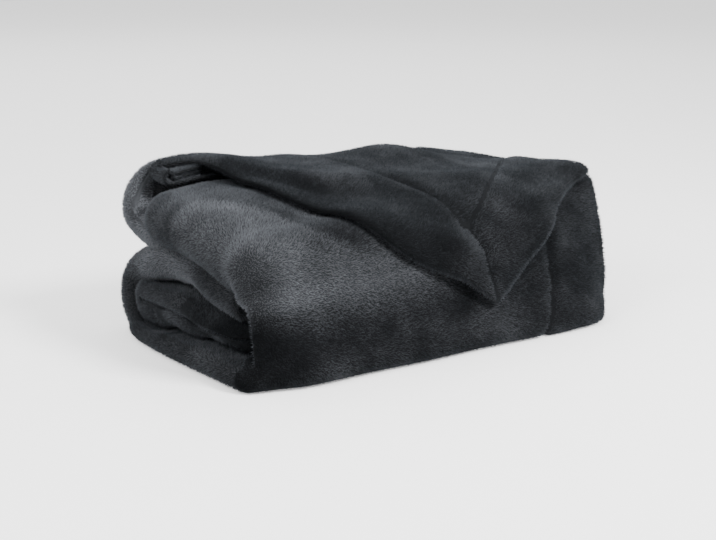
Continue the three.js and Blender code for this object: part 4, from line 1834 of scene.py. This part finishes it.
def plush_material(finish: PlushFinish) -> bpy.types.Material:
    """Makes the plush: painted shade between its fibres, paler on their tips, painted light and shade by
    zones, brushed patches and sheen.

    Args:
        finish: The look.

    Returns:
        The material.
    """
    material = bpy.data.materials.new(finish.name)
    material.use_nodes = True
    tree = material.node_tree
    shader = tree.nodes["Principled BSDF"]
    place = add_node(tree, "ShaderNodeTexCoord").outputs["Object"]
    patches, clumps, fibres = (
        add_node(
            tree,
            "ShaderNodeTexNoise",
            {"Vector": place, "Scale": per_metre(size), "Detail": detail, "Roughness": roughness},
        ).outputs["Fac"]
        for size, detail, roughness in (finish.patch, finish.clump, finish.fibre)
    )
    least, most = finish.noise
    patchy, clumped = (
        add_node(
            tree,
            "ShaderNodeMapRange",
            {"Value": noise, "From Min": least, "From Max": most, "To Min": low, "To Max": high},
        ).outputs["Result"]
        for noise, (low, high) in ((patches, finish.patchy), (clumps, finish.clumped))
    )
    nap, tip = (
        add_node(tree, "ShaderNodeAttribute", settings={"attribute_name": name}).outputs["Fac"]
        for name in (PAINTED_LIGHT, TIP)
    )
    # The painted light and shade from the point attribute plus the brushed patches, and the tips' colour for
    # that.
    painted_light_and_patches = add_node(
        tree, "ShaderNodeMath", {0: nap, 1: patchy}, {"operation": "ADD", "use_clamp": True}
    ).outputs[0]
    tips = add_node(
        tree,
        "ShaderNodeMix",
        {"Factor": painted_light_and_patches, 6: srgb(finish.pressed), 7: srgb(finish.tip)},
        {"data_type": "RGBA"},
    ).outputs[2]
    # How much of the tips' colour shows: all on a tip, and between the tips only where painted light lies;
    # elsewhere the root colour paints shade.
    grown = add_node(tree, "ShaderNodeMath", {0: tip, 1: clumped}, {"operation": "MULTIPLY"}).outputs[0]
    shows = add_node(
        tree,
        "ShaderNodeMath",
        {0: painted_light_and_patches, 1: finish.filled, 2: grown},
        {"operation": "MULTIPLY_ADD", "use_clamp": True},
    ).outputs[0]
    colour = add_node(
        tree, "ShaderNodeMix", {"Factor": shows, 6: srgb(finish.root), 7: tips}, {"data_type": "RGBA"}
    ).outputs[2]
    bump = add_node(
        tree,
        "ShaderNodeBump",
        {"Height": fibres, "Distance": finish.bump * MM, "Strength": finish.bump_strength},
    ).outputs["Normal"]
    tree.links.new(colour, shader.inputs["Base Color"])
    tree.links.new(bump, shader.inputs["Normal"])
    shader.inputs["Roughness"].default_value = finish.roughness
    shader.inputs["Specular IOR Level"].default_value = finish.specular
    shader.inputs["Sheen Weight"].default_value = finish.sheen
    shader.inputs["Sheen Roughness"].default_value = finish.sheen_roughness
    shader.inputs["Sheen Tint"].default_value = srgb(finish.sheen_tint)
    return material


@dataclass(frozen=True)
class Camera:
    """The photograph's camera.

    Args:
        place: Where it stands, in the tables' millimetres.
        target: What it looks at.
        focal_px: Its focal length in the photograph's pixels.
        width_px: The photograph's width.
        sensor: The sensor's width.
        clip_end: The farthest that it sees, in metres.
    """

    place: tuple[float, float, float] = (-358, -612, 264)
    target: tuple[float, float, float] = (153, 97, 36)
    focal_px: float = 1224.0
    width_px: float = 716.0
    sensor: float = 36.0
    clip_end: float = 20.0

    def build(self) -> bpy.types.Object:
        """Makes the scene's camera.

        Returns:
            The camera.
        """
        data = bpy.data.cameras.new("camera")
        data.sensor_width = self.sensor
        data.sensor_fit = "HORIZONTAL"
        data.lens = self.focal_px / self.width_px * self.sensor
        data.clip_end = self.clip_end
        camera = bpy.data.objects.new("camera", data)
        place, target = (Vector(in_frame(np.array(p, float))) for p in (self.place, self.target))
        camera.location = place
        camera.rotation_euler = (target - place).to_track_quat("-Z", "Y").to_euler()
        bpy.context.scene.collection.objects.link(camera)
        bpy.context.scene.camera = camera
        return camera


@dataclass(frozen=True)
class Softbox:
    """A soft white area light.

    Args:
        name: What it is for.
        place: Where it stands, in metres.
        target: What it points at.
        size: Its width and height.
        watts: How strong it is.
    """

    name: str
    place: tuple[float, float, float]
    target: tuple[float, float, float]
    size: Pair
    watts: float

    def build(self) -> bpy.types.Object:
        """Makes the light.

        Returns:
            The light.
        """
        data = bpy.data.lights.new(self.name, "AREA")
        data.shape = "RECTANGLE"
        data.size, data.size_y = self.size
        data.energy = self.watts
        light = bpy.data.objects.new(self.name, data)
        light.location = self.place
        way = Vector(self.target) - Vector(self.place)
        light.rotation_euler = way.to_track_quat("-Z", "Y").to_euler()
        bpy.context.scene.collection.objects.link(light)
        return light


SOFTBOXES = (
    Softbox("key", (0.38, -1.02, 0.95), (-0.03, -0.06, 0.06), (0.4, 0.4), 44.0),
    Softbox("left", (-1.1, -0.1, 0.85), (-0.1, 0, 0.05), (0.7, 0.7), 18.0),
    Softbox("overhead", (0.3, 1.6, 1.9), (0.2, 1.4, 0), (3.0, 2.4), 45.0),
)


@dataclass(frozen=True)
class PaperFinish:
    """The floor's matt white paper, which gives the eye an even pale ground with no gloss.

    Args:
        name: The material's name.
        colour: Its colour.
        grain: The size of its grain.
        bump: The grain's height.
        bump_strength: How strongly it shades.
        roughness: Its roughness.
        glow: How much light it sends out by itself, as a backlit studio floor does.
    """

    name: str = "matt_white_paper"
    colour: str = "f6f6f6"
    grain: float = 1.5
    bump: float = 0.02
    bump_strength: float = 0.2
    roughness: float = 0.9
    glow: float = 0.35

    def material(self) -> bpy.types.Material:
        """Makes the paper.

        Returns:
            The material.
        """
        material = bpy.data.materials.new(self.name)
        material.use_nodes = True
        tree = material.node_tree
        shader = tree.nodes["Principled BSDF"]
        place = add_node(tree, "ShaderNodeTexCoord").outputs["Object"]
        grain = add_node(tree, "ShaderNodeTexNoise", {"Vector": place, "Scale": per_metre(self.grain)})
        bump = add_node(
            tree,
            "ShaderNodeBump",
            {"Height": grain.outputs["Fac"], "Distance": self.bump * MM, "Strength": self.bump_strength},
        )
        tree.links.new(bump.outputs["Normal"], shader.inputs["Normal"])
        shader.inputs["Base Color"].default_value = srgb(self.colour)
        shader.inputs["Roughness"].default_value = self.roughness
        shader.inputs["Emission Color"].default_value = WHITE
        shader.inputs["Emission Strength"].default_value = self.glow
        return material


@dataclass
class Studio:
    """A plain pale floor, soft lights and an even surrounding.

    Args:
        floor_size: The floor's width and depth, in metres.
        paper: The floor's finish.
        surrounding: How strong the surrounding light is.
    """

    floor_size: float = 12.0
    paper: PaperFinish = field(default_factory=PaperFinish)
    surrounding: float = 1.15

    def floor(self) -> bpy.types.Object:
        """Makes the floor.

        Returns:
            The floor.
        """
        half = self.floor_size / 2
        corners = [(-half, -half, 0), (half, -half, 0), (half, half, 0), (-half, half, 0)]
        mesh = bpy.data.meshes.new("floor")
        mesh.from_pydata(corners, [], [(0, 1, 2, 3)])
        mesh.materials.append(self.paper.material())
        floor = bpy.data.objects.new("floor", mesh)
        bpy.context.scene.collection.objects.link(floor)
        return floor

    def build(self) -> None:
        """Makes the floor, the lights and the surrounding."""
        self.floor()
        for softbox in SOFTBOXES:
            softbox.build()
        world = bpy.data.worlds.new("studio")
        world.use_nodes = True
        background = world.node_tree.nodes["Background"]
        background.inputs["Color"].default_value = WHITE
        background.inputs["Strength"].default_value = self.surrounding
        bpy.context.scene.world = world


@dataclass
class Throw:
    """The whole throw: its cloth and its pile.

    Args:
        finish: Its look.
    """

    finish: PlushFinish = field(default_factory=PlushFinish)

    def build(self) -> list[bpy.types.Object]:
        """Returns:
            The cloth and the pieces of pile.
        """
        material = plush_material(self.finish)
        cloth = ThrowSheet()
        sheet = add_piece("throw_cloth", in_frame(cloth.points), cloth.faces, material)
        add_chart(sheet.data, cloth.uv)
        add_attribute(sheet.data, PAINTED_LIGHT, cloth.nap)
        bpy.context.view_layer.update()
        pile = Pile(sheet, in_frame(cloth.seams()) / MM).tufts(material)
        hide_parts(NODE)
        return [sheet, *pile]


def main() -> None:
    """Builds the scene."""
    logging.basicConfig(level=logging.INFO, format="%(message)s")
    pieces = Throw().build()
    Studio().build()
    Camera().build()
    for piece in pieces:
        piece.data.calc_loop_triangles()
        log.info("%s: %d triangles", piece.name, len(piece.data.loop_triangles))


if __name__ == "__main__":
    main()
